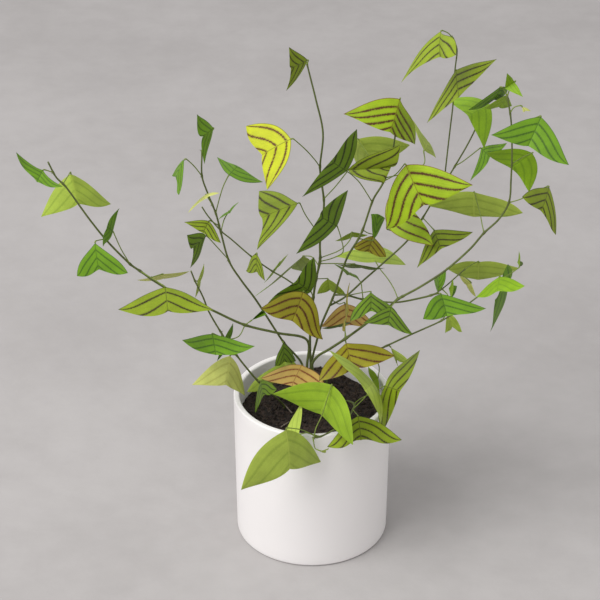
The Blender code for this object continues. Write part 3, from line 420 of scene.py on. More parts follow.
def right_leaves():
    """Return the leaves of the right stem."""
    return [
        Leaf("high", base=(541, 117), left=(491, 135), right=(569, 165), notch=(528, 146),
             behind=-42, ways="near near near", stalk=[(511, 132), (526, 122)],
             arch="level", edges="slight slight slight easy", look="green", stripes=(0.24, 0.26)),
        Leaf("plain", base=(532, 153), left=(487, 153), right=(529, 192), notch=(510, 168),
             behind=-14, ways="near far far", stalk=[(512, 164), (523, 157)],
             arch="hanging", edges="round full easy hollow", look="grass"),
        Leaf("right_tip", base=(549, 187), left=(522, 197), right=(556, 235), notch=(541, 211),
             behind=-38, ways="near far near", stalk=[(509, 203), (521, 199), (536, 192)],
             edges="easy slight easy easy", look="olive"),
        Leaf("wide_pale", base=(474, 192), left=(428, 206), right=(523, 213), notch=(474, 217),
             behind=14, ways="far far far", stalk=[(484, 233), (482, 224), (480, 213), (477, 202)],
             arch="dipped", edges="round easy straight easy", look="pale"),
        Leaf("top_dark", base=(500, 87), left=(468, 110), right=(507, 92), notch=(494, 100),
             behind=-36, ways="far far far", stalk=[(507, 96), (504, 90)],
             look="green"),
        Leaf("top_light", base=(507, 95), left=(485, 108), right=(512, 106), notch=(499, 107),
             behind=-28, ways="near far far", stalk=[(508, 98)],
             arch="level", edges="round straight easy round", look="under"),
        Leaf("top_small", base=(514, 82), left=(507, 73), right=(523, 97), notch=(505, 88.5),
             behind=-36, ways="near near near", stalk=[(507, 96), (510, 89)],
             arch="level", edges="slight slight straight straight", look="grass"),
        Leaf("tiny", base=(522.5, 107), left=(523, 112), right=(531, 111), notch=(525, 111),
             behind=-36, ways="near far near", stalk=[(511, 113), (514, 107.5), (519, 105)],
             look="cream"),
        Leaf("far_pale", base=(376, 262), left=(406, 265), right=(334, 257), notch=(378, 248),
             behind=50, ways="far far far", stalk=[(398, 299), (394, 289), (388, 279), (380, 269)],
             edges="round early full easy", look="soft"),
        Leaf("dark_middle", base=(391, 307), left=(363, 323), right=(413, 334.5), notch=(388, 325),
             behind=-28, ways="near near near", stalk=[(402, 297), (397, 300)],
             arch="level", edges="slight straight straight easy", look="deep"),
        Leaf("yellow_low", base=(346, 343), left=(319, 381), right=(395, 356), notch=(352, 367),
             behind=2, ways="near near near", stalk=[(345, 339)],
             edges="easy easy full full", look="brown", stripes=(0.24, 0.28)),
        Leaf("edge_low", base=(344, 323), left=(321, 328), right=(352, 321), notch=(338, 327),
             behind=12, ways="far far far", stalk=[(345, 339), (345, 331)],
             edges="round round easy round", look="deep"),
        Leaf("brown_edge", base=(346, 318), left=(345, 331), right=(350, 282), notch=(349, 312),
             behind=6, ways="near near near", stalk=[(346, 338), (345, 329)],
             edges="full round easy easy", look="brown"),
    ]


def low_right_leaves():
    """Return the leaves of the low right stem."""
    return [
        Leaf("bright", base=(500, 276.5), left=(476, 297), right=(525, 286), notch=(497, 291.5),
             behind=-12, ways="near near near", stalk=[(496, 281)],
             arch="hanging", edges="round round easy late", look="grass"),
        Leaf("striped", base=(508, 284), left=(508, 264), right=(490, 332), notch=(495, 300),
             behind=6, ways="level far near", stalk=[(480, 295), (495, 288)],
             edges="easy round late round", look="green"),
        Leaf("ragged", base=(448, 312), left=(445, 333), right=(462, 332), notch=(452, 327),
             behind=2, ways="far near near", stalk=[(441, 321), (445, 316)],
             arch="hanging", edges="round round slight easy", look="soft"),
        Leaf("bud", base=(519.5, 266.5), left=(522.5, 262), right=(519, 251), notch=(517.5, 262),
             behind=4, ways="far far far", stalk=[(497, 281), (510, 274)],
             look="deep"),
        Leaf("pale", base=(391, 347.5), left=(400, 369), right=(408.5, 361), notch=(397, 360),
             behind=10, ways="far near near", stalk=[(386, 346)],
             edges="round easy easy easy", look="pale"),
        Leaf("inner", base=(378, 378), left=(368, 366), right=(380, 395), notch=(373, 382),
             behind=12, ways="far far far", stalk=[(372, 352), (379, 366)],
             edges="early round easy easy", look="under"),
    ]


def front_leaves():
    """Return the leaves of the front stem."""
    return [
        Leaf("bright", base=(332, 385), left=(272, 394), right=(353, 445), notch=(320, 414),
             behind=-68, ways="far near far", stalk=[(314, 438), (316, 428), (322, 415)],
             arch="hanging", edges="round full slight easy", look="under"),
        Leaf("hanging", base=(286, 430), left=(241, 490), right=(321, 462), notch=(290, 469),
             behind=-92, ways="far far far", stalk=[(317, 437), (302, 430)],
             arch="level", edges="full round slight straight", look="pale"),
        Leaf("behind", base=(299, 434), left=(301, 403), right=(276, 462), notch=(286, 431),
             behind=-78, ways="far far far", stalk=[(320, 436), (307, 433)],
             arch="level", edges="easy round straight easy", look="pale"),
        Leaf("upright", base=(385, 386), left=(381, 437), right=(420, 350), notch=(400, 391),
             behind=-34, ways="far far near", stalk=[(354, 404), (360, 399), (368, 395), (377, 390)], wing=44,
             edges="round round round full", look="olive"),
        Leaf("long_pale", base=(374, 383), left=(329, 350), right=(381, 424), notch=(365, 391),
             behind=-30, ways="near near near", stalk=[(353, 409), (366, 396)],
             edges="slight round late straight", look="pale"),
        Leaf("low_striped", base=(358, 416), left=(327, 447), right=(402, 440), notch=(361, 440),
             behind=-52, ways="near near near", stalk=[(353, 410)],
             arch="level", edges="slight round late late", look="olive"),
        Leaf("small", base=(321, 451), left=(325, 453), right=(329, 448), notch=(326, 450.5),
             behind=-84, ways="far near far", stalk=[(313, 438), (315, 448)],
             look="pale"),
    ]


def short_leaves():
    """Return the leaves of the short stem."""
    return [
        Leaf("pink", base=(302, 365), left=(261, 378), right=(325, 385), notch=(292, 386),
             behind=0, ways="far near near", stalk=[(302, 369)],
             edges="round easy easy easy", look="pink"),
        Leaf("under", base=(285, 360), left=(247, 392), right=(300, 374), notch=(284, 376),
             behind=14, ways="level level level", stalk=[(303, 374)],
             edges="easy round easy easy", look="soft"),
    ]




def camera_frame():
    """Return the camera's place and its right, up and forward directions."""
    forward = Vector((0.0, math.cos(CAMERA_TILT), -math.sin(CAMERA_TILT)))
    right = Vector((1.0, 0.0, 0.0))
    up = right.cross(forward)
    place = CAMERA_TARGET - forward * CAMERA_DISTANCE
    return place, right, up, forward


EYE, RIGHT, UP, FORWARD = camera_frame()


def ray(pixel):
    """Return the direction from the camera through a pixel of the photograph."""
    across, down = pixel
    direction = FORWARD * FOCAL_PIXELS
    direction = direction + RIGHT * (across - PICTURE_CENTRE)
    direction = direction - UP * (down - PICTURE_CENTRE)
    return direction.normalized()


def at_depth(pixel, behind):
    """Return the point seen at a pixel that lies so many millimetres behind the pot's axis."""
    direction = ray(pixel)
    return EYE + direction * ((behind * MM - EYE.y) / direction.y)


def at_height(pixel, height):
    """Return the point seen at a pixel that lies at a given height."""
    direction = ray(pixel)
    return EYE + direction * ((height - EYE.z) / direction.z)


def at_reach(pixel, start, reach, way):
    """Return the point seen at a pixel that lies a given length from start, nearer or farther.

    A level point is the one on the pixel's ray that is closest to start.
    """
    direction = ray(pixel)
    middle = direction.dot(start - EYE)
    miss = (EYE + direction * middle - start).length
    half = math.sqrt(max(reach * reach - miss * miss, 0.0))
    if way == "near":
        half = -half
    if way == "level":
        half = 0.0
    return EYE + direction * (middle + half)


def wing_length(leaf, base):
    """Return the real length of a leaf's wings, from the one that is seen more fully."""
    if leaf.wing is not None:
        return leaf.wing * MM
    seen = 0.0
    for pixel in (leaf.left, leaf.right):
        direction = ray(pixel)
        nearest = EYE + direction * direction.dot(base - EYE)
        seen = max(seen, (nearest - base).length)
    return seen * WING_ALLOWANCE


def leaf_corners(leaf):
    """Return a leaf's joint, left tip, right tip and notch in space, and its wing's length."""
    base = at_depth(leaf.base, leaf.behind)
    wing = wing_length(leaf, base)
    midrib = MIDRIB_SHARE * wing if leaf.midrib is None else leaf.midrib * MM
    left = at_reach(leaf.left, base, wing, leaf.ways[0])
    right = at_reach(leaf.right, base, wing, leaf.ways[1])
    notch = at_reach(leaf.notch, base, midrib, leaf.ways[2])
    return base, left, right, notch, wing


def stem_points(stem):
    """Return the points of a stem in space."""
    points = []
    for across, down, behind in stem.route:
        points.append(at_depth((across, down), behind))
    return points


def branch_start(stems, pixel):
    """Return the place behind the axis of the stem that is seen nearest to a pixel."""
    best = None
    for stem in stems:
        for first, second in zip(stem.route, stem.route[1:]):
            run = Vector((second[0] - first[0], second[1] - first[1]))
            reach = Vector((pixel[0] - first[0], pixel[1] - first[1]))
            share = min(max(reach.dot(run) / run.length_squared, 0.0), 1.0)
            miss = (reach - run * share).length
            if best is None or miss < best[0]:
                here = [a + (b - a) * share for a, b in zip(first, second)]
                best = (miss, here)
    return best[1]


def blade_facing(corners):
    """Return the direction that a blade's upper face looks in."""
    base, left, right, notch, wing = corners
    facing = (left - base).cross(notch - base).normalized()
    facing = facing + (notch - base).cross(right - base).normalized()
    return facing.normalized()


def neck_direction(corners, towards):
    """Return the way in which a petiole leaves its blade: outward, then round to its stem."""
    base, left, right, notch, wing = corners
    midrib = (notch - base).normalized()
    away = (towards - base).normalized()
    over = away.dot(midrib)
    bend = away - midrib * over
    if over > 0.0:
        facing = blade_facing(corners)
        side = 1.0 if away.dot(facing) > 0.0 else -1.0
        bend = bend + facing * side * over
    return (bend * 0.9 - midrib).normalized()


def petiole_points(leaf, stems, corners):
    """Return the points of a petiole, from the blade's joint to the middle of its stem."""
    base, left, right, notch, wing = corners
    start = branch_start(stems, leaf.stalk[0])
    pixels = [tuple(start[:2])] + list(leaf.stalk[1:]) + [leaf.base]
    lengths = [0.0]
    for first, second in zip(pixels, pixels[1:]):
        lengths.append(lengths[-1] + math.dist(first, second))
    points = []
    for pixel, length in zip(pixels[:-1], lengths):
        share = length / lengths[-1]
        points.append(at_depth(pixel, start[2] + (leaf.behind - start[2]) * share))
    neck = base + neck_direction(corners, points[-1]) * PETIOLE_NECK
    kept = points[:1]
    for point in points[1:]:
        if (point - base).length > PETIOLE_NECK * 2.0:
            kept.append(point)
    return [base, neck] + list(reversed(kept))


def smooth_path(points, steps):
    """Return a curve through points, with the same number of steps between each two."""
    if len(points) == 2:
        return [points[0].lerp(points[1], step / steps) for step in range(steps + 1)]
    ends = [points[0] * 2.0 - points[1]] + list(points) + [points[-1] * 2.0 - points[-2]]
    path = []
    for place in range(1, len(ends) - 2):
        before, first, second, after = ends[place - 1:place + 3]
        out = (second - before) * 0.5
        into = (after - first) * 0.5
        run = (second - first).length
        out = out * min(1.0, run / max(out.length, 1e-9))
        into = into * min(1.0, run / max(into.length, 1e-9))
        for step in range(steps):
            t = step / steps
            a = 2.0 * t ** 3 - 3.0 * t ** 2 + 1.0
            b = t ** 3 - 2.0 * t ** 2 + t
            c = 3.0 * t ** 2 - 2.0 * t ** 3
            d = t ** 3 - t ** 2
            path.append(first * a + out * b + second * c + into * d)
    path.append(points[-1])
    return path


class Skin:
    """The points, faces and face maps of one piece while it is being made."""

    def __init__(self):
        self.points = []
        self.faces = []
        self.materials = []
        self.stripe_map = []
        self.edge_map = []
        self.blade = []
        self.stripe = []
        self.edge = []
        self.amounts = []

    def add_point(self, point, stripe_map=(0.0, 0.0), edge_map=(9.0, 9.0), look=None, amounts=(0.0, 1.0, 0.0)):
        """Add a point with its place on the leaf and its colours, and return its number."""
        self.points.append(point)
        self.stripe_map.append(stripe_map)
        self.edge_map.append(edge_map)
        self.blade.append(look[0] if look else (0.1, 0.1, 0.1))
        self.stripe.append(look[1] if look else (0.1, 0.1, 0.1))
        self.edge.append(look[2] if look else (0.1, 0.1, 0.1))
        self.amounts.append(amounts)
        return len(self.points) - 1

    def add_face(self, corners, material):
        """Add a face with the number of its material."""
        self.faces.append(corners)
        self.materials.append(material)

    def make(self, name, materials):
        """Turn everything into one object with smooth faces."""
        mesh = bpy.data.meshes.new(name)
        mesh.from_pydata([tuple(point) for point in self.points], [], self.faces)
        for material in materials:
            mesh.materials.append(material)
        mesh.polygons.foreach_set("material_index", self.materials)
        mesh.polygons.foreach_set("use_smooth", [True] * len(self.faces))
        corners = [0] * len(mesh.loops)
        mesh.loops.foreach_get("vertex_index", corners)
        for title, values in (("stripe_map", self.stripe_map), ("edge_map", self.edge_map)):
            layer = mesh.uv_layers.new(name=title)
            flat = []
            for corner in corners:
                flat.extend(values[corner])
            layer.uv.foreach_set("vector", flat)
        for title, values in (("blade", self.blade), ("stripe", self.stripe), ("edge", self.edge)):
            layer = mesh.attributes.new(title, "FLOAT_COLOR", "POINT")
            flat = []
            for value in values:
                flat.extend((*value, 1.0))
            layer.data.foreach_set("color", flat)
        layer = mesh.attributes.new("amounts", "FLOAT_VECTOR", "POINT")
        flat = []
        for value in self.amounts:
            flat.extend(value[:3])
        layer.data.foreach_set("vector", flat)
        layer = mesh.attributes.new("edge_amount", "FLOAT", "POINT")
        layer.data.foreach_set("value", [value[3] if len(value) > 3 else 0.0 for value in self.amounts])
        mesh.update()
        made = bpy.data.objects.new(name, mesh)
        bpy.context.scene.collection.objects.link(made)
        return made


def light_amount(value):
    """Turn one channel of a colour, from 0 to 255, into the amount of light it stands for."""
    share = value / 255.0
    if share <= 0.04045:
        return share / 12.92
    return ((share + 0.055) / 1.055) ** 2.4


def as_light(colour):
    """Turn a colour, from 0 to 255, into amounts of light."""
    return tuple(light_amount(value) for value in colour)


def bulge(share, near, far):
    """Return an edge's swelling from two percentages, at a third and two thirds of its length."""
    slope = 9.0 * near - 4.5 * far + 13.5 * (far - near) * share
    return share * (1.0 - share) * slope / 100.0


def edge_spots(corners, tip, swellings, shares):
    """Return points down the leading edge and down the trailing edge of one wing."""
    base, left, right, notch, wing = corners
    run = (tip - base).normalized()
    inward = notch - base
    inward = (inward - run * inward.dot(run)).normalized() * wing
    lead_near, lead_far, trail_near, trail_far = swellings
    lead = [base.lerp(tip, share) - inward * bulge(share, lead_near, lead_far) for share in shares]
    trail = [notch.lerp(tip, share) + inward * bulge(share, trail_near, trail_far) for share in shares]
    return lead, trail


def column_shares(count):
    """Return where the columns of a wing lie, close together beside the midrib."""
    shares = [0.0, 0.012, 0.030, 0.060]
    for step in range(1, count + 1):
        shares.append(0.060 + 0.94 * step / count)
    return shares


def add_blade(skin, leaf, corners, chance):
    """Add the two faces of one leaf, which meet at its edge."""
    base, left, right, notch, wing = corners
    facing = blade_facing(corners)
    seen_side = 1.0 if facing.dot(EYE - (base + notch) * 0.5) > 0.0 else -1.0
    large = wing > LARGE_WING * 0.5
    shares = column_shares(16 if large else 9)
    rows = 14 if large else 8
    phase = chance.uniform(0.0, 6.28)
    tint = chance.uniform(0.94, 1.06)
    patch = chance.uniform(0.0, 40.0)
    for side in (1.0, -1.0):
        word = leaf.look if side == seen_side else BACK_LOOKS[leaf.look]
        look = LOOKS[word]
        colours = (tuple(c * tint for c in as_light(look.blade)), as_light(look.stripe), as_light(look.edge))
        midrib_line = None
        for hand, tip in ((0, left), (1, right)):
            swellings = leaf.edges[2 * hand:2 * hand + 2] + leaf.edges[2 * hand + 4:2 * hand + 6]
            lead_spots, trail_spots = edge_spots(corners, tip, swellings, shares)
            lines = []
            for column, share in enumerate(shares[:-1]):
                if column == 0 and midrib_line is not None:
                    lines.append(midrib_line)
                    continue
                line = []
                swell = 4.0 * share * (1.0 - share)
                chord = (trail_spots[column] - lead_spots[column]).length
                for row in range(rows + 1):
                    down = row / rows
                    spot = lead_spots[column].lerp(trail_spots[column], down)
                    wave = math.sin(5.2 * share + 3.1 * down + phase + hand * 1.7) * swell
                    droop = 4.0 * down * (1.0 - down)
                    rib_gap = share * wing
                    groove = math.exp(-(rib_gap / 0.0006) ** 2) * 0.00020
                    lift = BLADE_ARCH * leaf.arch * swell * wing + 0.008 * wing * wave
                    lift = lift + 0.016 * wing * droop * (1.0 - share)
                    margin = min(down, 1.0 - down) * chord
                    half = BLADE_HALF * min(1.0, margin / 0.0008)
                    place = spot + facing * (lift - groove + side * half)
                    line.append(skin.add_point(
                        place, (share + patch, down * (1.0 - 0.62 * share)),
                        (rib_gap / MM, down * chord / MM), colours,
                        (leaf.stripes[0], leaf.stripes[1], look.stripes, look.edges)))
                if column == 0:
                    midrib_line = line
                lines.append(line)
            peak = skin.add_point(
                tip, (1.0 + patch, 0.38 * 0.6), (wing / MM, 0.0), colours,
                (leaf.stripes[0], leaf.stripes[1], look.stripes, look.edges))
            turned = (hand == 1) != (side < 0.0)
            for inner, outer in zip(lines, lines[1:]):
                for row in range(rows):
                    quad = (inner[row], inner[row + 1], outer[row + 1], outer[row])
                    skin.add_face(tuple(reversed(quad)) if turned else quad, 0)
            for row in range(rows):
                quad = (lines[-1][row], lines[-1][row + 1], peak)
                skin.add_face(tuple(reversed(quad)) if turned else quad, 0)


def add_tube(skin, path, radii, sides, look):
    """Add a round tube along a path, closed with a flat cap at each end."""
    across = (path[1] - path[0]).orthogonal().normalized()
    rings = []
    travelled = 0.0
    for place, point in enumerate(path):
        before = path[max(place - 1, 0)]
        after = path[min(place + 1, len(path) - 1)]
        along = (after - before).normalized()
        across = (across - along * across.dot(along)).normalized()
        sideways = along.cross(across)
        travelled += (point - before).length
        ring = []
        for side in range(sides):
            turn = 2.0 * math.pi * side / sides
            offset = across * math.cos(turn) + sideways * math.sin(turn)
            ring.append(skin.add_point(
                point + offset * radii[place], (travelled / MM, side / sides), (9.0, 9.0), look))
        rings.append(ring)
    for lower, upper in zip(rings, rings[1:]):
        for side in range(sides):
            following = (side + 1) % sides
            skin.add_face((lower[side], lower[following], upper[following], upper[side]), 1)
    skin.add_face(tuple(rings[-1]), 1)
    skin.add_face(tuple(reversed(rings[0])), 1)


STEM_LOOK = (as_light((92, 104, 48)), as_light((70, 60, 30)), as_light((110, 120, 60)))
PETIOLE_LOOK = (as_light((116, 136, 52)), as_light((92, 84, 40)), as_light((130, 140, 60)))


def soil_height(x, y):
    """Return the height of the soil's surface, which is heaped up at the back."""
    away = ((x - MOUND_PLACE[0]) ** 2 + (y - MOUND_PLACE[1]) ** 2) / MOUND_WIDTH ** 2
    return SOIL_LEVEL + MOUND_HEIGHT * math.exp(-away)


def add_stem(skin, stem, joints):
    """Add one stem, a little thicker where petioles join it."""
    points = stem_points(stem)
    foot = points[0]
    if foot.z < SOIL_LEVEL + 0.010:
        low = Vector((foot.x, foot.y, SOIL_LEVEL - 0.004))
        top = soil_height(foot.x, foot.y) + 0.0025
        points = [low, Vector((foot.x, foot.y, top))] + [p for p in points[1:] if p.z > top + 0.002]
    path = smooth_path(points, 8)
    radii = []
    for place, point in enumerate(path):
        share = place / (len(path) - 1)
        radius = (stem.low_radius * (1.0 - share) + stem.high_radius * share) * MM * 0.86
        swelling = 0.0
        for joint in joints:
            gap = (joint - point).length
            swelling = max(swelling, math.exp(-(gap / 0.0016) ** 2))
        radii.append(radius * (1.0 + 0.45 * swelling))
    add_tube(skin, path, radii, STEM_SIDES, STEM_LOOK)


def add_petiole(skin, leaf, stems, corners):
    """Add the thin stalk of one leaf, thicker at both of its ends."""
    points = petiole_points(leaf, stems, corners)
    path = smooth_path(points, 6)
    total = sum((b - a).length for a, b in zip(path, path[1:]))
    radii = []
    travelled = 0.0
    before = path[0]
    for point in path:
        travelled += (point - before).length
        before = point
        near_blade = math.exp(-(travelled / 0.0022) ** 2)
        near_stem = math.exp(-((total - travelled) / 0.0018) ** 2)
        radii.append(PETIOLE_RADIUS * (1.0 + 0.45 * near_blade + 0.55 * near_stem))
    add_tube(skin, path, radii, 7, PETIOLE_LOOK)
    return points[-1], (points[-2] - points[-1]).normalized()


def add_stipules(skin, root, outward, chance):
    """Add two small pointed scales beside the root of a petiole."""
    for hand in (-1.0, 1.0):
        lean = (outward + Vector((chance.uniform(-0.5, 0.5), chance.uniform(-0.5, 0.5), hand * 0.8))).normalized()
        length = chance.uniform(0.0014, 0.0028)
        path = [root + lean * length * step / 3.0 for step in range(4)]
        add_tube(skin, path, [0.00032, 0.00030, 0.00018, 0.00004], 5, STEM_LOOK)


def make_leafy_stem(node, leaves, materials, seed):
    """Make one leafy stem as one piece that stands for its solid."""
    chance = random.Random(seed)
    skin = Skin()
    stems = [stem for stem in stem_table() if stem.node == node]
    joints = []
    for leaf in leaves:
        corners = leaf_corners(leaf)
        add_blade(skin, leaf, corners, chance)
        root, outward = add_petiole(skin, leaf, stems, corners)
        add_stipules(skin, root, outward, chance)
        joints.append(root)
    for stem in stems:
        add_stem(skin, stem, joints)
    piece = skin.make(node + "_foliage", materials)
    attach(piece, "root")
    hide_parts(node)
    return piece


class Nodes:
    """A short way to write the nodes of one material."""

    def __init__(self, name):
        self.material = bpy.data.materials.new(name)
        self.material.use_nodes = True
        self.tree = self.material.node_tree
        self.surface = self.tree.nodes["Principled BSDF"]

    def add(self, kind, **settings):
        """Add a node and set its plain settings."""
        node = self.tree.nodes.new(kind)
        for key, value in settings.items():
            setattr(node, key, value)
        return node

    def link(self, source, goal):
        """Join an output to an input."""
        self.tree.links.new(source, goal)

    def feed(self, goal, value):
        """Give an input a number, a colour or another node's output."""
        if isinstance(value, bpy.types.NodeSocket):
            self.link(value, goal)
        else:
            goal.default_value = value

    def math(self, operation, first, second=0.0, third=0.0, clamp=False):
        """Return the result of a sum on two or three values."""
        node = self.add("ShaderNodeMath", operation=operation, use_clamp=clamp)
        for goal, value in zip(node.inputs, (first, second, third)):
            self.feed(goal, value)
        return node.outputs[0]

    def ramp(self, value, low, high, out_low=0.0, out_high=1.0):
        """Return a value that goes smoothly from one level to another."""
        node = self.add("ShaderNodeMapRange", interpolation_type="SMOOTHSTEP")
        for goal, setting in zip(node.inputs, (value, low, high, out_low, out_high)):
            self.feed(goal, setting)
        return node.outputs[0]

    def mix(self, amount, first, second):
        """Return a colour between two others."""
        node = self.add("ShaderNodeMix", data_type="RGBA")
        self.feed(node.inputs[0], amount)
        self.feed(node.inputs[6], first)
        self.feed(node.inputs[7], second)
        return node.outputs[2]

    def brighten(self, colour, amount):
        """Return a colour with its brightness multiplied."""
        node = self.add("ShaderNodeHueSaturation")
        self.feed(node.inputs["Value"], amount)
        self.feed(node.inputs["Color"], colour)
        return node.outputs[0]

    def noise(self, scale, detail=3.0, rough=0.55, vector=None):
        """Return fine random variation from 0 to 1."""
        node = self.add("ShaderNodeTexNoise")
        node.inputs["Scale"].default_value = scale
        node.inputs["Detail"].default_value = detail
        node.inputs["Roughness"].default_value = rough
        if vector is None:
            vector = self.add("ShaderNodeTexCoord").outputs["Object"]
        self.link(vector, node.inputs["Vector"])
        return node.outputs[0]

    def bump(self, height, distance, strength=1.0):
        """Send a height to the surface as fine relief."""
        node = self.add("ShaderNodeBump")
        node.inputs["Distance"].default_value = distance
        node.inputs["Strength"].default_value = strength
        self.link(height, node.inputs["Height"])
        self.link(node.outputs[0], self.surface.inputs["Normal"])


def leaf_material():
    """Make the leaves' surface: chevron stripes with toothed edges, veins, midrib and soft patches."""
    n = Nodes("leaf")
    place = n.add("ShaderNodeUVMap", uv_map="stripe_map").outputs[0]
    gaps = n.add("ShaderNodeUVMap", uv_map="edge_map").outputs[0]
    split = n.add("ShaderNodeSeparateXYZ")
    n.link(place, split.inputs[0])
    along, down = split.outputs[0], split.outputs[1]
    split = n.add("ShaderNodeSeparateXYZ")
    n.link(gaps, split.inputs[0])
    rib_gap, edge_gap = split.outputs[0], split.outputs[1]
    split = n.add("ShaderNodeSeparateXYZ")
    n.link(n.add("ShaderNodeAttribute", attribute_name="amounts").outputs["Vector"], split.inputs[0])
    first, step, strength = split.outputs[0], split.outputs[1], split.outputs[2]
    edge_amount = n.add("ShaderNodeAttribute", attribute_name="edge_amount").outputs["Fac"]
    blade = n.add("ShaderNodeAttribute", attribute_name="blade").outputs["Color"]
    stripe = n.add("ShaderNodeAttribute", attribute_name="stripe").outputs["Color"]
    edge = n.add("ShaderNodeAttribute", attribute_name="edge").outputs["Color"]
    stretch = n.add("ShaderNodeMapping")
    n.link(place, stretch.inputs["Vector"])
    stretch.inputs["Scale"].default_value = (60.0, 5.0, 1.0)
    teeth = n.noise(1.0, 2.0, 0.5, stretch.outputs[0])
    order = n.math("DIVIDE", n.math("SUBTRACT", down, first), step)
    offset = n.math("ABSOLUTE", n.math("SUBTRACT", n.math("FRACT", n.math("ADD", order, 0.5)), 0.5))
    distance = n.math("MULTIPLY", offset, step)
    width = n.ramp(teeth, 0.30, 0.70, 0.012, 0.040)
    line = n.ramp(n.math("SUBTRACT", distance, width), -0.008, 0.008, 1.0, 0.0)
    inside = n.ramp(order, -0.55, -0.45, 0.0, 1.0)
    started = n.ramp(rib_gap, 0.3, 0.9, 0.0, 1.0)
    line = n.math("MULTIPLY", n.math("MULTIPLY", line, inside), n.math("MULTIPLY", started, strength))
    halo = n.ramp(distance, 0.030, 0.075, 0.30, 0.0)
    halo = n.math("MULTIPLY", n.math("MULTIPLY", halo, inside), strength)
    rows = n.math("ABSOLUTE", n.math("SUBTRACT", n.math("FRACT", n.math("MULTIPLY", down, 15.0)), 0.5))
    vein = n.ramp(rows, 0.0, 0.16, 1.0, 0.0)
    patches = n.noise(70.0, 4.0, 0.6)
    mottle = n.noise(900.0, 3.0, 0.6)
    shade = n.math("ADD", n.ramp(patches, 0.25, 0.75, 0.86, 1.12), n.ramp(mottle, 0.2, 0.8, -0.05, 0.05))
    shade = n.math("ADD", shade, n.math("MULTIPLY", vein, 0.07))
    colour = n.brighten(blade, shade)
    colour = n.mix(halo, colour, stripe)
    midrib = n.ramp(rib_gap, 0.10, 0.45, 0.75, 0.0)
    colour = n.mix(midrib, colour, edge)
    colour = n.mix(line, colour, stripe)
    margin = n.math("MULTIPLY", n.ramp(edge_gap, 0.25, 0.75, 1.0, 0.0), edge_amount)
    colour = n.mix(margin, colour, edge)
    n.link(colour, n.surface.inputs["Base Color"])
    n.link(n.ramp(mottle, 0.2, 0.8, 0.48, 0.62), n.surface.inputs["Roughness"])
    n.surface.inputs["Specular IOR Level"].default_value = 0.35
    n.bump(n.math("ADD", n.math("MULTIPLY", vein, 0.5), mottle), 0.00012)
    return n.material


def stem_material():
    """Make the stems' surface: dull green bark with fine grooves and brownish flecks."""
    n = Nodes("stem")
    blade = n.add("ShaderNodeAttribute", attribute_name="blade").outputs["Color"]
    stripe = n.add("ShaderNodeAttribute", attribute_name="stripe").outputs["Color"]
    patches = n.noise(160.0, 3.0, 0.6)
    fine = n.noise(1400.0, 3.0, 0.6)
    colour = n.brighten(blade, n.ramp(patches, 0.25, 0.75, 0.75, 1.2))
    colour = n.mix(n.ramp(fine, 0.50, 0.70, 0.0, 0.6), colour, stripe)
    n.link(colour, n.surface.inputs["Base Color"])
    n.link(n.ramp(fine, 0.2, 0.8, 0.55, 0.75), n.surface.inputs["Roughness"])
    n.bump(fine, 0.00015)
    return n.material


def pot_material():
    """Make the pot's satin white glaze with very faint unevenness."""
    n = Nodes("pot_glaze")
    cloud = n.noise(9.0, 3.0, 0.5)
    fine = n.noise(420.0, 3.0, 0.6)
    colour = n.mix(n.ramp(cloud, 0.3, 0.7, 0.0, 1.0), (0.875, 0.855, 0.850, 1.0), (0.85, 0.828, 0.823, 1.0))
    n.link(colour, n.surface.inputs["Base Color"])
    n.link(n.ramp(fine, 0.2, 0.8, 0.40, 0.50), n.surface.inputs["Roughness"])
    n.surface.inputs["Specular IOR Level"].default_value = 0.45
    n.bump(n.math("ADD", n.math("MULTIPLY", n.noise(60.0, 2.0), 2.0), fine), 0.00004)
    return n.material


def soil_material():
    """Make dark crumbly soil with brown and nearly black grains."""
    n = Nodes("soil_crumbs")
    grains = n.add("ShaderNodeTexVoronoi")
    grains.inputs["Scale"].default_value = 520.0
    n.link(n.add("ShaderNodeTexCoord").outputs["Object"], grains.inputs["Vector"])
    fine = n.noise(1200.0, 4.0, 0.7)
    split = n.add("ShaderNodeSeparateColor")
    n.link(grains.outputs["Color"], split.inputs[0])
    colour = n.mix(split.outputs[0], (0.010, 0.007, 0.006, 1.0), (0.055, 0.034, 0.024, 1.0))
    colour = n.mix(n.ramp(fine, 0.62, 0.75, 0.0, 0.5), colour, (0.11, 0.07, 0.045, 1.0))
    n.link(colour, n.surface.inputs["Base Color"])
    n.link(n.ramp(fine, 0.2, 0.8, 0.75, 0.95), n.surface.inputs["Roughness"])
    n.bump(n.math("ADD", grains.outputs["Distance"], fine), 0.0006)
    return n.material


def stick_material():
    """Make pale dry wood with long fine grain."""
    n = Nodes("dry_stick")
    fine = n.noise(700.0, 4.0, 0.7)
    n.link(n.mix(fine, (0.10, 0.07, 0.05, 1.0), (0.34, 0.29, 0.24, 1.0)), n.surface.inputs["Base Color"])
    n.link(n.ramp(fine, 0.2, 0.8, 0.7, 0.9), n.surface.inputs["Roughness"])
    n.bump(fine, 0.0002)
    return n.material


def floor_material():
    """Make a pale grey floor with soft cloudy patches."""
    n = Nodes("floor_grey")
    cloud = n.noise(5.0, 5.0, 0.55)
    fine = n.noise(42.0, 4.0, 0.6)
    mixed = n.math("ADD", n.math("MULTIPLY", cloud, 0.7), n.math("MULTIPLY", fine, 0.3))
    colour = n.mix(n.ramp(mixed, 0.3, 0.7, 0.0, 1.0), (0.385, 0.370, 0.366, 1.0), (0.445, 0.430, 0.426, 1.0))
    n.link(colour, n.surface.inputs["Base Color"])
    n.surface.inputs["Roughness"].default_value = 0.9
    n.surface.inputs["Specular IOR Level"].default_value = 0.2
    n.bump(fine, 0.0004)
    return n.material


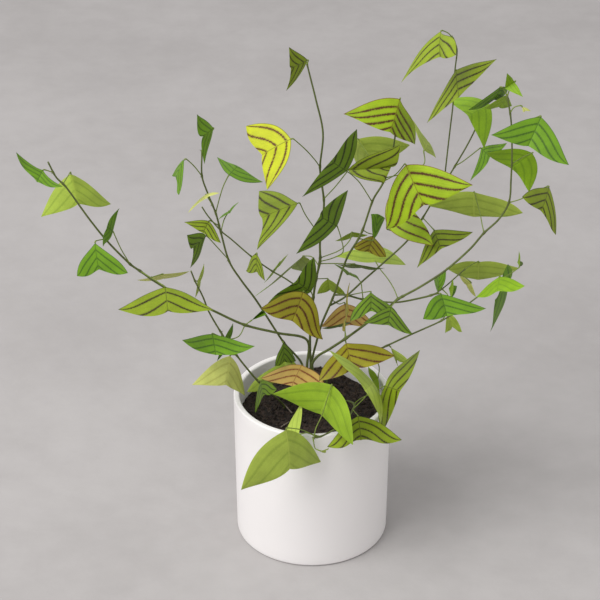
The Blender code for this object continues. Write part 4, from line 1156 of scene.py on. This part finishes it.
def arc(centre_radius, centre_height, radius, start, end, steps):
    """Return points on a rounding of the pot's outline."""
    points = []
    for step in range(steps + 1):
        turn = math.radians(start + (end - start) * step / steps)
        points.append((centre_radius + radius * math.cos(turn), centre_height + radius * math.sin(turn)))
    return points


def pot_outline():
    """Return the pot's outline from the middle of its floor, up the inside and down the outside."""
    taper = (POT_RIM_RADIUS - POT_FOOT_RADIUS) / POT_HEIGHT
    inner_foot = POT_FOOT_RADIUS + taper * POT_FLOOR - POT_WALL
    inner_rim = POT_RIM_RADIUS - POT_WALL
    outline = [(0.0, POT_FLOOR), (inner_foot * 0.5, POT_FLOOR), (inner_foot, POT_FLOOR)]
    for step in range(1, 12):
        share = step / 12
        outline.append((inner_foot + (inner_rim - inner_foot) * share, POT_FLOOR + (POT_HEIGHT - POT_FLOOR) * share))
    outline += arc(inner_rim + 0.0016, POT_HEIGHT - 0.0016, 0.0016, 180.0, 90.0, 6)
    outline += arc(POT_RIM_RADIUS - 0.0011, POT_HEIGHT - 0.0011, 0.0011, 90.0, 0.0, 6)
    for step in range(1, 16):
        share = step / 16
        outline.append((POT_RIM_RADIUS + (POT_FOOT_RADIUS - POT_RIM_RADIUS) * share,
                        (POT_HEIGHT - 0.0011) + (0.0024 - POT_HEIGHT + 0.0011) * share))
    outline += arc(POT_FOOT_RADIUS - 0.0024, 0.0024, 0.0024, 0.0, -90.0, 6)
    outline += [(POT_FOOT_RADIUS * 0.92, 0.0), (POT_FOOT_RADIUS * 0.90, 0.0008), (0.0, 0.0008)]
    return outline


def make_pot():
    """Make the pot as a finely turned body."""
    outline = pot_outline()
    points = []
    faces = []
    for radius, height in outline:
        for side in range(POT_SIDES):
            turn = 2.0 * math.pi * side / POT_SIDES
            points.append((radius * math.cos(turn), radius * math.sin(turn), height))
    for ring in range(len(outline) - 1):
        for side in range(POT_SIDES):
            following = (side + 1) % POT_SIDES
            low = ring * POT_SIDES
            high = low + POT_SIDES
            faces.append((low + side, low + following, high + following, high + side))
    mesh = bpy.data.meshes.new("pot_glazed")
    mesh.from_pydata(points, [], faces)
    mesh.polygons.foreach_set("use_smooth", [True] * len(faces))
    pot = bpy.data.objects.new("pot_glazed", mesh)
    bpy.context.scene.collection.objects.link(pot)
    mesh.materials.append(pot_material())
    weld = pot.modifiers.new("Weld", "WELD")
    weld.merge_threshold = 0.00002
    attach(pot, "root")
    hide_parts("pot")


def crumb(points, faces, centre, size, chance):
    """Add one rough crumb of soil."""
    ring = 6
    start = len(points)
    tilt = Vector((chance.uniform(-1, 1), chance.uniform(-1, 1), chance.uniform(-1, 1))).normalized()
    side_way = tilt.orthogonal().normalized()
    other = tilt.cross(side_way)
    for level, width in ((-0.55, 0.65), (0.05, 1.0), (0.6, 0.6)):
        for place in range(ring):
            turn = 2.0 * math.pi * (place + level) / ring
            reach = size * width * chance.uniform(0.7, 1.15)
            points.append(centre + tilt * level * size + (side_way * math.cos(turn) + other * math.sin(turn)) * reach)
    for level in range(2):
        for place in range(ring):
            following = (place + 1) % ring
            low = start + level * ring
            faces.append((low + place, low + following, low + ring + following, low + ring + place))
    faces.append(tuple(start + place for place in reversed(range(ring))))
    faces.append(tuple(start + 2 * ring + place for place in range(ring)))


def make_soil():
    """Make the soil's rough surface with loose crumbs on it."""
    chance = random.Random(11)
    taper = (POT_RIM_RADIUS - POT_FOOT_RADIUS) / POT_HEIGHT
    outer = POT_RIM_RADIUS - POT_WALL - taper * (POT_HEIGHT - SOIL_LEVEL) - 0.0002
    rings, sides = 64, 150
    points = [Vector((0.0, 0.0, soil_height(0.0, 0.0)))]
    for ring in range(1, rings + 1):
        radius = outer * ring / rings
        for side in range(sides):
            turn = 2.0 * math.pi * side / sides
            x, y = radius * math.cos(turn), radius * math.sin(turn)
            rough = noise.fractal(Vector((x, y, 0.0)) * 260.0, 0.6, 2.1, 5) * 0.0011
            points.append(Vector((x, y, soil_height(x, y) + rough)))
    for side in range(sides):
        turn = 2.0 * math.pi * side / sides
        points.append(Vector((outer * math.cos(turn), outer * math.sin(turn), SOIL_LEVEL - 0.006)))
    faces = []
    for side in range(sides):
        following = (side + 1) % sides
        faces.append((0, 1 + side, 1 + following))
        for ring in range(rings):
            low = 1 + ring * sides
            faces.append((low + side, low + sides + side, low + sides + following, low + following))
    for count in range(1500):
        radius = math.sqrt(chance.random()) * (outer - 0.0018)
        turn = chance.uniform(0.0, 2.0 * math.pi)
        x, y = radius * math.cos(turn), radius * math.sin(turn)
        size = chance.choice((0.0005, 0.0007, 0.0009, 0.0013))
        crumb(points, faces, Vector((x, y, soil_height(x, y) + size * 0.4)), size, chance)
    mesh = bpy.data.meshes.new("soil_crumbly")
    mesh.from_pydata([tuple(point) for point in points], [], faces)
    mesh.materials.append(soil_material())
    soil = bpy.data.objects.new("soil_crumbly", mesh)
    bpy.context.scene.collection.objects.link(soil)
    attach(soil, "root")
    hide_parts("soil")


def make_sticks():
    """Make two thin dry sticks that lie on the soil."""
    skin = Skin()
    look = STEM_LOOK
    for first, second in (((276, 398), (292, 413)), ((281, 427), (289, 422))):
        start = at_height(first, SOIL_LEVEL + 0.0012)
        end = at_height(second, SOIL_LEVEL + 0.0012)
        middle = start.lerp(end, 0.5) + Vector((0.0004, 0.0003, 0.0003))
        path = smooth_path([start, middle, end], 8)
        add_tube(skin, path, [0.0005] * len(path), 7, look)
    skin.materials = [0] * len(skin.materials)
    sticks = skin.make("dry_sticks", [stick_material()])
    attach(sticks, "root")


def make_floor():
    """Make a wide pale floor under the pot."""
    mesh = bpy.data.meshes.new("floor")
    side = 6.0
    mesh.from_pydata([(-side, -side, 0.0), (side, -side, 0.0), (side, side, 0.0), (-side, side, 0.0)],
                     [], [(0, 1, 2, 3)])
    mesh.materials.append(floor_material())
    floor = bpy.data.objects.new("floor", mesh)
    bpy.context.scene.collection.objects.link(floor)


def add_light(name, place, target, size, power, colour):
    """Add a large soft lamp that looks at a point."""
    lamp = bpy.data.lights.new(name, "AREA")
    lamp.shape = "DISK"
    lamp.size = size
    lamp.energy = power
    lamp.color = colour
    holder = bpy.data.objects.new(name, lamp)
    holder.location = place
    holder.rotation_euler = (Vector(target) - Vector(place)).to_track_quat("-Z", "Y").to_euler()
    bpy.context.scene.collection.objects.link(holder)


def make_lights():
    """Light the plant softly from the upper left, with a fainter glow from all round."""
    add_light("key", (-1.53, -1.19, 2.40), (0.0, 0.0, 0.12), 2.3, 74.0, (1.0, 0.985, 0.975))
    world = bpy.data.worlds.new("room")
    world.use_nodes = True
    glow = world.node_tree.nodes["Background"]
    glow.inputs[0].default_value = (1.0, 0.985, 0.985, 1.0)
    glow.inputs[1].default_value = 0.72
    bpy.context.scene.world = world


def make_camera():
    """Stand the camera where the photograph's camera stood."""
    lens = bpy.data.cameras.new("photo_camera")
    lens.sensor_fit = "HORIZONTAL"
    lens.sensor_width = 36.0
    lens.lens = FOCAL_PIXELS / PICTURE_SIDE * 36.0
    lens.clip_start = 0.05
    lens.clip_end = 30.0
    camera = bpy.data.objects.new("photo_camera", lens)
    camera.location = EYE
    camera.rotation_euler = (math.pi / 2.0 - CAMERA_TILT, 0.0, 0.0)
    bpy.context.scene.collection.objects.link(camera)
    bpy.context.scene.camera = camera


def make_plant():
    """Make all nine leafy stems."""
    materials = [leaf_material(), stem_material()]
    tables = {
        "stem_far_left": far_left_leaves,
        "stem_low_left": low_left_leaves,
        "stem_left": left_leaves,
        "stem_centre": centre_leaves,
        "stem_right_centre": right_centre_leaves,
        "stem_right": right_leaves,
        "stem_low_right": low_right_leaves,
        "stem_front": front_leaves,
        "stem_short": short_leaves,
    }
    for seed, (node, leaves) in enumerate(tables.items()):
        make_leafy_stem(node, leaves(), materials, seed)


make_camera()
make_lights()
make_floor()
make_pot()
make_soil()
make_sticks()
make_plant()
bpy.context.scene.view_settings.view_transform = "Standard"
